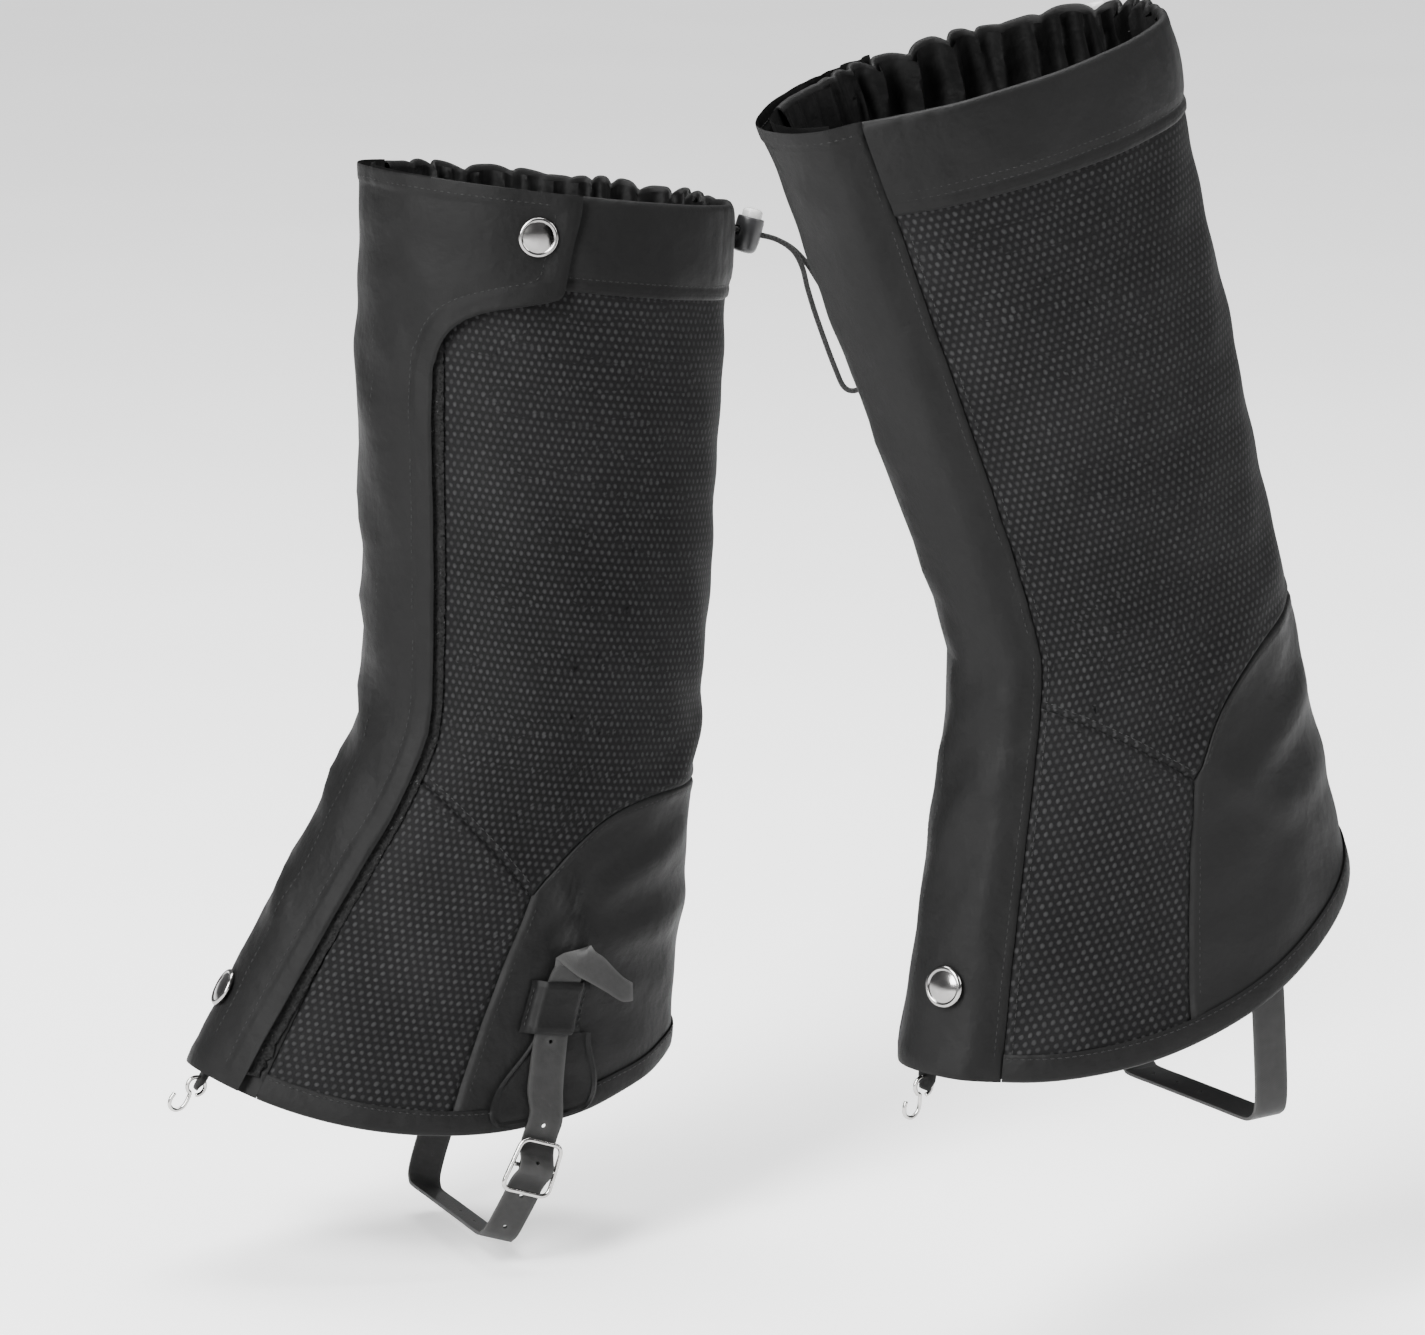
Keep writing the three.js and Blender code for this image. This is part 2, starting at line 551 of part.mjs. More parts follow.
function strapKeeper(cinch) {
  const half = KEEPER.width / 2;
  const low = 0.8;
  const high = TAIL_OFF + STIRRUP.thickness + 0.4;
  const t = 0.8;
  const oneHalf = [[half - 5.5, high], [half - 4.5, low], [half, low], [half, low + t], [half - 3.9, low + t],
    [half - 4.9, high + t]];
  const outline = [...oneHalf, ...oneHalf.map(([x, y]) => [-x, y]).reverse()];
  const arch = plate(outline, KEEPER.height).translate(0, 0, -KEEPER.height / 2);
  return outward(arch.rotateX(Math.PI / 2)).applyMatrix4(seat(KEEPER.u, KEEPER.z, 0, cinch));
}

function strapPatch(cinch) {
  const place = (s, t) => {
    const half = lerp(PATCH.bottomHalf, PATCH.topHalf, t);
    const u = PATCH.u + lerp(-half, half, s);
    return [u, lerp(hemZ(u) + 4, PATCH.topZ, t)];
  };
  return panel(6, 4, place, cinch, PATCH.off + 0.8, PATCH.off);
}

// The loose end goes up through the keeper and turns over towards the heel
function strapTail(cinch) {
  const half = STIRRUP.width / 2;
  const foot = STIRRUP.z + half + 0.6 - KEEPER.z;
  const outline = [[-half, foot], [half, foot], [half, 12], [14, 13], [29, 6], [31, 12], [17, 24], [-2, 24],
    [-half, 18]];
  return plate(outline, STIRRUP.thickness).applyMatrix4(seat(KEEPER.u, KEEPER.z, TAIL_OFF, cinch));
}

function laceHookTab(cinch) {
  const half = LACE_TAB.width / 2;
  const { above, below, hole } = LACE_TAB;
  const outline = [[-half, above], [-half, -below + 4], [-half + 3, -below], [half - 3, -below],
    [half, -below + 4], [half, above]];
  const eye = new THREE.Path();
  eye.absarc(0, -below + 4, hole, 0, 2 * Math.PI, true);
  return plate(outline, FABRIC, [eye]).applyMatrix4(seat(0, HEM_Z.front, LACE_TAB.off, cinch));
}

// One wire: a ring through the tab's hole, and a hook below it that points to the front
function laceHook(cinch) {
  const ring = 4;
  const centre = -LACE_TAB.below + 4 - ring;
  const points = rowsBetween(245, -75, 12).map((degrees) => {
    const angle = degToRad(degrees);
    return new THREE.Vector3(0, centre + ring * Math.sin(angle), ring * Math.cos(angle));
  });
  const shank = [[-8, 0.6], [-11, 1.2], [-13.2, 3.6], [-12.4, 6.6], [-9.5, 7.6], [-6.5, 7.2]];
  for (const [y, z] of shank) points.push(new THREE.Vector3(0, centre + y, z));
  return wire(points, HOOK_WIRE, 22, 6).applyMatrix4(seat(0, HEM_Z.front, LACE_TAB.off + FABRIC / 2, cinch));
}

// ---------------------------------------------------------------- assembly

const gaiters = new THREE.Group();

for (const worn of WORN) {
  const { side, mirrored, cinch, cordU } = worn;
  const lowerSnap = { ...LOWER_SNAP, u: worn.lowerSnapU };
  const handed = (geometry) => (mirrored ? flipped(outward(geometry).scale(1, -1, 1)) : outward(geometry));
  const add = (group, name, geometry, finish) => {
    const mesh = new THREE.Mesh(geometry, new THREE.MeshStandardMaterial(finish));
    mesh.geometry.computeVertexNormals();
    mesh.name = `${side}_${name}`;
    group.add(mesh);
    return mesh;
  };

  const leg = new THREE.Group();
  leg.rotation.set(0, degToRad(worn.lean), degToRad(worn.turn), 'ZYX');
  leg.position.set(worn.at[0], worn.at[1], worn.at[2] + ANKLE_PIVOT);
  gaiters.add(leg);
  const shell = new THREE.Group();
  shell.position.set(0, 0, -ANKLE_PIVOT);
  leg.add(shell);

  add(shell, 'calf_panel', handed(calfPanel(cinch)), KNIT);
  add(shell, 'instep_panel_outer', handed(instepPanel(cinch, false)), KNIT);
  add(shell, 'instep_panel_inner', handed(instepPanel(cinch, true)), KNIT);
  add(shell, 'heel_panel', handed(heelPanel(cinch)), CLOTH);
  add(shell, 'underlap_panel', handed(underlap(cinch, lowerSnap)), CLOTH);
  add(shell, 'collar', handed(collar(cinch, cordU)), CLOTH);
  add(shell, 'collar_lining', handed(collarLining(cinch)), CLOTH);
  add(shell, 'hem_binding', handed(hemBinding(cinch)), CLOTH);
  add(shell, 'loop_strip', handed(closureStrip(LOOP_OFF, cinch)), TRIM);
  add(shell, 'hook_strip', handed(closureStrip(HOOK_OFF, cinch)), TRIM);
  add(shell, 'front_flap', handed(frontFlap(cinch, lowerSnap)), CLOTH);
  add(shell, 'top_snap_cap', handed(snapCap(TOP_SNAP, cinch)), NICKEL);
  add(shell, 'bottom_snap_cap', handed(snapCap(lowerSnap, cinch)), NICKEL);
  add(shell, 'top_snap_stud', handed(snapStud(TOP_SNAP, CHANNEL_OFF + FABRIC, cinch)), STEEL);
  add(shell, 'bottom_snap_stud', handed(snapStud(lowerSnap, 0, cinch)), STEEL);
  add(shell, 'drawcord_run', handed(cordRun(cinch)), TRIM);
  add(shell, 'cord_eyelet', handed(cordEyelet(cinch, cordU)), STEEL);
  add(shell, 'strap_keeper', handed(strapKeeper(cinch)), CLOTH);
  add(shell, 'strap_patch', handed(strapPatch(cinch)), CLOTH);
  add(shell, 'strap_tail', handed(strapTail(cinch)), STRAP);
  add(shell, 'lace_hook_tab', handed(laceHookTab(cinch)), TRIM);
  add(shell, 'lace_hook', handed(laceHook(cinch)), STEEL);

  const stirrup = new THREE.Group();
  stirrup.position.set(STIRRUP.x, 0, STIRRUP.z);
  stirrup.rotation.y = degToRad(STIRRUP.swing);
  shell.add(stirrup);
  add(stirrup, 'stirrup_strap', handed(stirrupStrap()), STRAP);
  add(stirrup, 'buckle_tab', handed(buckleTab()), TRIM);
  add(stirrup, 'buckle_frame', handed(buckleFrame()), NICKEL);

  const exit = seat(cordU, CORD.z, CHANNEL_OFF, cinch);
  const out = new THREE.Vector3().setFromMatrixColumn(exit, 2);
  const cord = new THREE.Group();
  cord.position.setFromMatrixPosition(exit);
  if (mirrored) cord.position.y *= -1;
  cord.rotation.z = Math.atan2(out.y, out.x) * (mirrored ? -1 : 1);
  shell.add(cord);
  const route = loopRoute(worn.cordDrop);
  add(cord, 'drawcord_loop', outward(wire(route, CORD.diameter, 40)), TRIM);

  const lock = new THREE.Group();
  lock.rotation.y = -degToRad(worn.cordDrop[0]);
  cord.add(lock);
  for (const [name, geometry, finish] of [
    ['lock_barrel', lockBarrel(), LOCK_BLACK],
    ['lock_plunger', lockPlunger(), BUTTON_GREY],
    ['lock_spring', outward(lockSpring()), STEEL],
  ]) {
    add(lock, name, geometry, finish).position.x = LOCK.at;
  }
}

export default gaiters;
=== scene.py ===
import random
from math import atan2, cos, exp, hypot, log1p, pi, radians, sin, sqrt, tan

import bmesh
import bpy
from mathutils import Matrix, Vector
from mathutils.kdtree import KDTree


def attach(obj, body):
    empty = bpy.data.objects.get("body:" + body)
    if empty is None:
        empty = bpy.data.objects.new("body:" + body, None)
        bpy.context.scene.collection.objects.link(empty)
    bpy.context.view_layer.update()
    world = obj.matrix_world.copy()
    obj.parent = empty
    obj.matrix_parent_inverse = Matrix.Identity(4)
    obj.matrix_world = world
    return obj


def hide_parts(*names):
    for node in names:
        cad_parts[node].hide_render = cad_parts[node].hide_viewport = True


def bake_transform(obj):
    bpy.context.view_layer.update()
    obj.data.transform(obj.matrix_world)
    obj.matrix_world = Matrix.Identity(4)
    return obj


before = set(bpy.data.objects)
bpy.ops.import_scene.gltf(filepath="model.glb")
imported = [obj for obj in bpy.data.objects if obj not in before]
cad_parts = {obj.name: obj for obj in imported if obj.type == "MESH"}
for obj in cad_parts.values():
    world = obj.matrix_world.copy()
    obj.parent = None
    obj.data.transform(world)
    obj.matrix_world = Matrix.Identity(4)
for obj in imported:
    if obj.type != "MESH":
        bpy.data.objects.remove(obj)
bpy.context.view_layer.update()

# ---------------------------------------------------------------- the pair, as it is worn
# The gaiters stand on two invisible legs in mid stride, the left one back, the right one lifted.
# Both are drawn as an upright left one in millimetres: u is the angle round the leg (0 front, 90
# outer side, 180 back), z the height. Each leg's matrix then leans, turns and mirrors the drawing.
ANKLE_PIVOT = 80
LEGS = [
    {"side": "left", "mirrored": False, "at": (0, 0, 0), "turn": 0, "lean": 8, "cinch": 0.91,
     "cord_u": 180, "cord_drop": (-8, -57), "seed": 0.4, "gather": (176, 318), "calm": 0.6,
     "lower_snap_u": -3},
    {"side": "right", "mirrored": True, "at": (217, -233, 91), "turn": 8.5, "lean": -13, "cinch": 1,
     "cord_u": 150, "cord_drop": (-4, -96), "seed": 2.1, "gather": (60, 206), "calm": 0.6,
     "lower_snap_u": -13},
]
for leg in LEGS:
    leg["flip"] = Matrix.Diagonal((1, -1 if leg["mirrored"] else 1, 1, 1))
    turned_way = Matrix.Rotation(radians(leg["turn"]), 4, "Z")
    turned_way = turned_way @ Matrix.Rotation(radians(leg["lean"]), 4, "Y")
    ankle = Matrix.Translation(Vector(leg["at"]) + Vector((0, 0, ANKLE_PIVOT)))
    from_ankle = Matrix.Translation((0, 0, -ANKLE_PIVOT)) @ leg["flip"]
    leg["place"] = Matrix.Scale(0.001, 4) @ ankle @ turned_way @ from_ankle

# ---------------------------------------------------------------- calf panel
# The big panel that wraps the calf: one piece of textured cloth with small raised pills in
# staggered rows. It is sewn to the collar above it and to the instep and heel panels below it.
RIM_Z = 460
COLLAR_Z = 424
ANKLE_Z = 225
ANKLE_SOFTNESS = 14
SHIN_X = -78
SHIN_FLARE = 42
INSTEP_SLOPE = 22.5
HEEL_X = 70
CALF_X = 54
HALF_WIDTH = {"hem": 57, "ankle": 49, "rim": 53}
TOE_TAPER = 0.12
CLOTH = 0.9
SEAM_GAP = 0.3
OUTER_EDGE_U = 35
RING_END_U = 323.7
HEEL_SEAM_U = 89
HEEL_SEAM_Z = {"corner": 161, "back": 211}
DIAGONAL_Z = 206
EDGE_STEPS = (0, 0.45, 0.9, 1.5, 2.3, 3.6, 5.5)
MM_PER_DEGREE = 1.25

# Folds in the cloth of each gaiter: where each starts and ends as (u, z), how far it stands out
# and how wide it is, in millimetres
FOLDS = {
    "left": [
        ((97, 168), (112, 128), 1.9, 4), ((112, 172), (97, 140), -1.3, 5),
        ((101, 158), (150, 190), 1.5, 7), ((112, 140), (165, 160), 1.3, 8),
        ((128, 205), (175, 245), 1.3, 9), ((-30, 256), (18, 214), 1.3, 7),
        ((-32, 292), (10, 262), 1.0, 8), ((-30, 214), (14, 176), 1.3, 7),
        ((-26, 168), (16, 132), 1.0, 7), ((-33, 330), (4, 306), 0.8, 8),
        ((-28, 400), (14, 352), 0.9, 10), ((190, 260), (290, 215), 2.0, 9),
        ((200, 215), (300, 240), -1.6, 10), ((240, 300), (310, 250), 1.4, 11),
        ((185, 120), (240, 150), 1.5, 9),
    ],
    "right": [
        ((268, 168), (236, 128), 1.6, 6), ((262, 152), (215, 176), 1.4, 8),
        ((256, 132), (205, 142), 1.1, 9), ((266, 196), (220, 236), 1.2, 10),
        ((-33, 262), (10, 236), 1.3, 6), ((-33, 244), (12, 214), 1.2, 6),
        ((-33, 284), (8, 266), 0.9, 6), ((-32, 222), (10, 190), 1.1, 7),
        ((-32, 186), (12, 156), 0.9, 8), ((-34, 330), (0, 316), 0.7, 8),
        ((306, 300), (250, 262), 0.9, 12), ((310, 236), (262, 218), 0.9, 10),
        ((100, 220), (170, 260), 1.8, 9), ((60, 260), (120, 226), 1.5, 9),
        ((95, 150), (150, 180), 1.5, 8),
    ],
}
GATHERS = 34
GATHER_DEPTH = 2.7
FOLD_STRENGTH = 1.9
RIPPLE = {"broad": 0.35, "fine": 0.5}


def own(leg, name):
    """The full name of one gaiter's piece, node or body."""
    return f"{leg['side']}_{name}"


def lerp(a, b, t):
    return a + (b - a) * t


def smoothstep(x, low, high):
    t = min(max((x - low) / (high - low), 0), 1)
    return t * t * (3 - 2 * t)


def shell(leg, u, z):
    """The smooth shape that the cloth follows."""
    below = ANKLE_SOFTNESS * log1p(exp((ANKLE_Z - z) / ANKLE_SOFTNESS))
    flare = SHIN_FLARE * max(z - ANKLE_Z, 0) / (RIM_Z - ANKLE_Z)
    front = SHIN_X - flare - below * tan(radians(INSTEP_SLOPE))
    back = lerp(HEEL_X, CALF_X, (z - 60) / 400)
    if z > ANKLE_Z:
        half = lerp(HALF_WIDTH["ankle"], HALF_WIDTH["rim"], smoothstep(z, ANKLE_Z, 342))
    else:
        half = lerp(HALF_WIDTH["ankle"], HALF_WIDTH["hem"], ((ANKLE_Z - z) / (ANKLE_Z - 60)) ** 2)
    gathered = lerp(1, leg["cinch"], min(max((z - 220) / 240, 0), 1) ** 2)
    taper = TOE_TAPER * min(max((ANKLE_Z - z) / 120, 0), 1)
    c = cos(radians(u))
    x = (back + front) / 2 - (back - front) / 2 * gathered * c
    return Vector((x, -half * sin(radians(u)) * (1 - taper * c), z))


def gathering(leg, u):
    """How strongly the drawcord gathers the cloth there, from 0 to 1."""
    start, end = leg["gather"]
    around = u % 360
    return smoothstep(around, start - 22, start + 26) * (1 - smoothstep(around, end - 26, end + 6))


def pleat(leg, u, z):
    """The gathers at the rim, as a wave with narrow creases between round tops."""
    a = radians(u)
    slant = 0.018 * (z - 440) * sin(9 * a + leg["seed"])
    phase = GATHERS / 2 * a + 1.5 * sin(3 * a + leg["seed"]) + 1.0 * sin(7 * a + 2 * leg["seed"]) + slant
    crease = 1 - abs(sin(phase))
    return (0.55 - 1.7 * crease ** 1.6) * (0.72 + 0.4 * sin(5 * a + 3 * leg["seed"]) + 0.2 * sin(11 * a))


def rumple(leg, u, z):
    """How far the cloth stands off its smooth shape, in millimetres. Every layer follows the same folds."""
    a = radians(u)
    seed = leg["seed"]
    lift = leg["calm"] * sin(0.031 * z + 2 * a + seed) * sin(3 * a - 0.024 * z + 2 * seed)
    lift += RIPPLE["broad"] * sin(0.083 * z + 5 * a + seed) * sin(4 * a + 0.05 * z)
    lift += RIPPLE["fine"] * sin(0.16 * z + 6 * a + seed) * sin(7 * a - 0.07 * z + 3 * seed)
    grip = smoothstep(z, 385, 452) ** 1.5
    lift += grip * (0.12 + GATHER_DEPTH * gathering(leg, u)) * pleat(leg, u, z)
    around = (u + 60) % 360 - 60
    for (u0, z0), (u1, z1), height, width in FOLDS[leg["side"]]:
        along_u, along_z = (u1 - u0) * MM_PER_DEGREE, z1 - z0
        du, dz = (around - u0) * MM_PER_DEGREE, z - z0
        length = hypot(along_u, along_z)
        t = (du * along_u + dz * along_z) / length ** 2
        if -0.4 < t < 1.4:
            across = (du * along_z - dz * along_u) / length
            if abs(across) < 3 * width:
                end_fade = smoothstep(t, -0.4, 0.35) * (1 - smoothstep(t, 0.55, 1.4))
                lift += FOLD_STRENGTH * height * end_fade * exp(-(across / width) ** 2)
    return lift


def seat(leg, u, z, off=0.0):
    """Frame on the cloth: x runs round the leg, y up it and z straight out."""
    way_round = (shell(leg, u + 0.2, z) - shell(leg, u - 0.2, z)).normalized()
    up = (shell(leg, u, z + 0.5) - shell(leg, u, z - 0.5)).normalized()
    out = way_round.cross(up).normalized()
    origin = shell(leg, u, z) + out * (off + rumple(leg, u, z))
    basis = Matrix((way_round, out.cross(way_round), out)).transposed().to_4x4()
    return Matrix.Translation(origin) @ basis


def on_cloth(leg, u, z, off=0.0):
    return seat(leg, u, z, off).to_translation()


def hem_z(u):
    c = cos(radians(u))
    return 58 - 12.5 * c + 23.5 * c * c


def seam_z(u):
    """The diagonal seam falls from the front to the heel panel's corner. The heel seam rises behind it."""
    away = min(u, 360 - u)
    if away >= HEEL_SEAM_U:
        rise = HEEL_SEAM_Z["back"] - HEEL_SEAM_Z["corner"]
        return HEEL_SEAM_Z["back"] - rise * exp((HEEL_SEAM_U - away) / 16)
    t = (away - 36) / (HEEL_SEAM_U - 36)
    return DIAGONAL_Z - 24 * t - 21 * t * t


def spaced(low, high, count, per_mm=1.0):
    """Stations from low to high, close together along both edges, where the seams dip."""
    inset = [step * per_mm for step in EDGE_STEPS]
    middle = [lerp(low + inset[-1], high - inset[-1], (k + 1) / (count + 1)) for k in range(count)]
    return [low + step for step in inset] + middle + [high - step for step in reversed(inset)]


def seam_roll(edge):
    """The cloth turns under at a seam and stands a little proud beside it; edge is the distance to it."""
    return -0.85 * exp(-(edge / 0.75) ** 2) + 0.42 * exp(-((edge - 2.6) / 1.7) ** 2)


def grid(columns, rows):
    """A flat grid of faces, and each of its corners with its column and row."""
    bm = bmesh.new()
    bmesh.ops.create_grid(bm, x_segments=columns, y_segments=rows, size=1)
    corners = []
    for vert in bm.verts:
        corners.append((vert, round((vert.co.x + 1) / 2 * columns), round((vert.co.y + 1) / 2 * rows)))
    return bm, corners


def unwrap(bm, flat):
    """Writes the UV map from each corner's place on it, in metres."""
    uv = bm.loops.layers.uv.new("cloth")
    for face in bm.faces:
        for loop in face.loops:
            loop[uv].uv = flat[loop.vert.index]


def lay(leg, columns, rows, place, thickness=CLOTH):
    """A sheet of cloth on the leg. place(i, j) says where a crossing of its grid lies, as (u, z, off).
    Its UV map is in metres, along and up the cloth."""
    bm, corners = grid(columns, rows)
    spots = {}
    for vert, i, j in corners:
        u, z, off = place(i, j)
        vert.co = on_cloth(leg, u, z, off)
        spots[i, j] = (vert.index, u, z)
    along = [0.0]
    middle = rows // 2
    for i in range(columns):
        step = shell(leg, *spots[i + 1, middle][1:]) - shell(leg, *spots[i, middle][1:])
        along.append(along[-1] + hypot(step.x, step.y))
    unwrap(bm, {index: (along[i] * 0.001, z * 0.001) for (i, j), (index, u, z) in spots.items()})
    bmesh.ops.solidify(bm, geom=bm.faces[:], thickness=thickness)
    return bm


def as_object(bm, name):
    """A drawn piece as an object of the scene."""
    mesh = bpy.data.meshes.new(name)
    bm.to_mesh(mesh)
    bm.free()
    made = bpy.data.objects.new(name, mesh)
    bpy.context.scene.collection.objects.link(made)
    return made


def put(bm, leg, name, material, slot, body=None, replaces=(), crease=50, blended=None):
    """Stands a drawn piece in its place and fixes it to its body, or to the shells if none is named. A
    blended piece is only baked in place and fixed to no body.
    """
    bmesh.ops.transform(bm, matrix=leg["place"], verts=bm.verts)
    if leg["mirrored"]:
        bmesh.ops.reverse_faces(bm, faces=bm.faces)
    piece = as_object(bm, own(leg, name))
    piece.data.materials.append(material)
    piece.data.shade_smooth()
    piece.data.set_sharp_from_angle(angle=radians(crease))
    if replaces:
        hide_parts(*[own(leg, node) for node in replaces])
    if blended:
        body_a, body_b, start, end = blended
        body_b = own(leg, body_b)
        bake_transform(piece)
    else:
        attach(piece, own(leg, body) if body else "shells")
    return piece


def feed(tree, node, inputs):
    """Sets or links a node's inputs."""
    for key, value in inputs.items():
        if isinstance(value, bpy.types.NodeSocket):
            tree.links.new(value, node.inputs[key])
        else:
            node.inputs[key].default_value = value


def add(tree, kind, inputs, **settings):
    """One node of a material, with each input set or linked."""
    made = tree.nodes.new("ShaderNode" + kind)
    for name, value in settings.items():
        setattr(made, name, value)
    feed(tree, made, inputs)
    return made


def maths(tree, operation, a, b=0.0, clamp=False):
    return add(tree, "Math", {0: a, 1: b}, operation=operation, use_clamp=clamp).outputs[0]


def plus(tree, a, b):
    return maths(tree, "ADD", a, b)


def less(tree, a, b, clamp=False):
    return maths(tree, "SUBTRACT", a, b, clamp)


def times(tree, a, b, clamp=False):
    return maths(tree, "MULTIPLY", a, b, clamp)


def sine(tree, a):
    return maths(tree, "SINE", a)


def object_spot(tree):
    """The place in the piece's own metres."""
    return add(tree, "TexCoord", {}).outputs["Object"]


def cloth_map(tree):
    """The UV map, then its two parts: metres across the piece and along it."""
    uv = add(tree, "TexCoord", {}).outputs["UV"]
    parts = add(tree, "SeparateXYZ", {0: uv}).outputs
    return uv, parts["X"], parts["Y"]


def noise(tree, spot, scale, detail, **more):
    return add(tree, "TexNoise", {"Vector": spot, "Scale": scale, "Detail": detail, **more}).outputs["Fac"]


def blotches(tree, scale, detail=3.0):
    """Changes of tone over a piece."""
    return noise(tree, object_spot(tree), scale, detail)


def bump(tree, height, strength, distance, **more):
    """Relief for the shader's normal."""
    inputs = {"Height": height, "Strength": strength, "Distance": distance, **more}
    return add(tree, "Bump", inputs).outputs["Normal"]


def mix(tree, share, one, other):
    return add(tree, "MixRGB", {"Fac": share, "Color1": one, "Color2": other}).outputs["Color"]


def ramp(tree, value, stops):
    """A colour ramp; stops are (position, linear grey or colour)."""
    made = add(tree, "ValToRGB", {"Fac": value})
    elements = made.color_ramp.elements
    while len(elements) < len(stops):
        elements.new(0.5)
    for element, (position, tone) in zip(elements, stops):
        element.position = position
        element.color = (*tone, 1) if isinstance(tone, tuple) else (tone, tone, tone, 1)
    return made.outputs["Color"]


def new_material(name):
    material = bpy.data.materials.new(name)
    material.use_nodes = True
    return material, material.node_tree


def finish(material, **looks):
    """Sets or links the inputs of the material's shader."""
    tree = material.node_tree
    feed(tree, tree.nodes["Principled BSDF"], {key.replace("_", " "): look for key, look in looks.items()})
    return material


def wear_and_highlight_edges(tree, colour, edge_tone, amount):
    """Lighter tone along edges and fold tops: partly wear where the piece rubs, partly a painted highlight
    on the raised places.
    """
    point = add(tree, "NewGeometry", {}).outputs["Pointiness"]
    raised = times(tree, less(tree, point, 0.515), 9, True)
    return mix(tree, times(tree, raised, amount), colour, (*edge_tone, 1))


def textured_cloth_material():
    """Black cloth with raised pills 3.1 mm apart along a row, in rows 3.1 mm apart and half a step over."""
    pitch = 0.0031
    material, tree = new_material("textured_cloth")
    uv, across, along = cloth_map(tree)
    wander = noise(tree, uv, 240.0, 1.0)
    rows = plus(tree, maths(tree, "DIVIDE", along, pitch), times(tree, wander, 0.35))
    row = maths(tree, "FLOOR", rows)
    shift = times(tree, maths(tree, "MODULO", row, 2.0), 0.5)
    steps = plus(tree, maths(tree, "DIVIDE", across, pitch), shift)
    steps = plus(tree, steps, times(tree, wander, 0.3))
    reach = []
    for station, half in ((steps, 0.31), (rows, 0.37)):
        from_middle = maths(tree, "ABSOLUTE", less(tree, maths(tree, "FRACT", station), 0.5))
        reach.append(maths(tree, "POWER", maths(tree, "DIVIDE", from_middle, half), 2.0))
    pill = maths(tree, "POWER", less(tree, 1.0, plus(tree, *reach), True), 0.6)
    cell = add(tree, "CombineXYZ", {"X": maths(tree, "FLOOR", steps), "Y": row})
    each = add(tree, "TexWhiteNoise", {"Vector": cell.outputs[0]}, noise_dimensions="2D").outputs["Value"]
    tall = times(tree, pill, plus(tree, times(tree, each, 0.5), 0.5))
    threads = noise(tree, uv, 2600.0, 2.0)
    # The pills' tops are painted lighter and the gaps between them darker: a painted highlight and painted
    # shade that follow the pills' height.
    tone = plus(tree, times(tree, tall, 0.72), times(tree, threads, 0.16))
    tone = plus(tree, tone, times(tree, less(tree, blotches(tree, 14), 0.5), 0.35))
    colour = ramp(tree, tone, [(0.05, (0.0014, 0.0014, 0.0015)), (0.85, (0.018, 0.018, 0.0184))])
    height = plus(tree, tall, times(tree, threads, 0.22))
    return finish(material, Roughness=0.7, Sheen_Weight=0.008, Sheen_Roughness=0.5, Specular_IOR_Level=0.09,
                  Base_Color=wear_and_highlight_edges(tree, colour, (0.02, 0.02, 0.02), 0.5),
                  Normal=bump(tree, height, 0.7, 0.00035))


textured_cloth = textured_cloth_material()

for leg in LEGS:
    calf_us = spaced(OUTER_EDGE_U, RING_END_U, 140, 1 / MM_PER_DEGREE)
    calf_rows = [spaced(seam_z(u) + SEAM_GAP, COLLAR_Z, 58) for u in calf_us]

    def calf(i, j):
        u, levels = calf_us[i], calf_rows[i]
        side = min(u - OUTER_EDGE_U, RING_END_U - u) * MM_PER_DEGREE
        return u, levels[j], seam_roll(min(levels[j] - levels[0], side))

    bm = lay(leg, len(calf_us) - 1, len(calf_rows[0]) - 1, calf)
    piece = put(bm, leg, "calf_cloth", textured_cloth, "textured_cloth", replaces=["calf_panel"])

# ---------------------------------------------------------------- instep panels
# Two panels of the same textured cloth over the instep, one each side of the front opening. Each is
# sewn under the calf panel along the diagonal seam and beside the heel panel at its back edge.


def heel_drift(z):
    """Below its corner the heel seam drops almost straight to the hem, drifting a little to the front."""
    return -4 * max(0, 1 - ((z - 60) / 101) ** 2)


for leg in LEGS:
    for which, front in (("outer", OUTER_EDGE_U), ("inner", 36.3)):
        across = spaced(front, HEEL_SEAM_U, 34, 1 / MM_PER_DEGREE)
        heights = [spaced(hem_z(u) + 2, seam_z(u) - SEAM_GAP, 42) for u in across]

        def instep(i, j):
            column = i if which == "outer" else len(across) - 1 - i
            level = heights[column]
            back = (across[column] - front) / (HEEL_SEAM_U - front)
            u = across[column] + (heel_drift(level[j]) - SEAM_GAP) * back
            sides = min(across[column] - front, HEEL_SEAM_U - across[column]) * MM_PER_DEGREE
            off = seam_roll(min(level[-1] - level[j], sides))
            return (u if which == "outer" else 360 - u), level[j], off

        bm = lay(leg, len(across) - 1, len(heights[0]) - 1, instep)
        name = f"instep_cloth_{which}"
        piece = put(bm, leg, name, textured_cloth, "textured_cloth", replaces=[f"instep_panel_{which}"])

# ---------------------------------------------------------------- heel panel
# A panel of plain black cloth with a low satin sheen that wraps the heel. Its edges are turned
# under and lapped over the textured panels, with one row of stitches beside the seam.


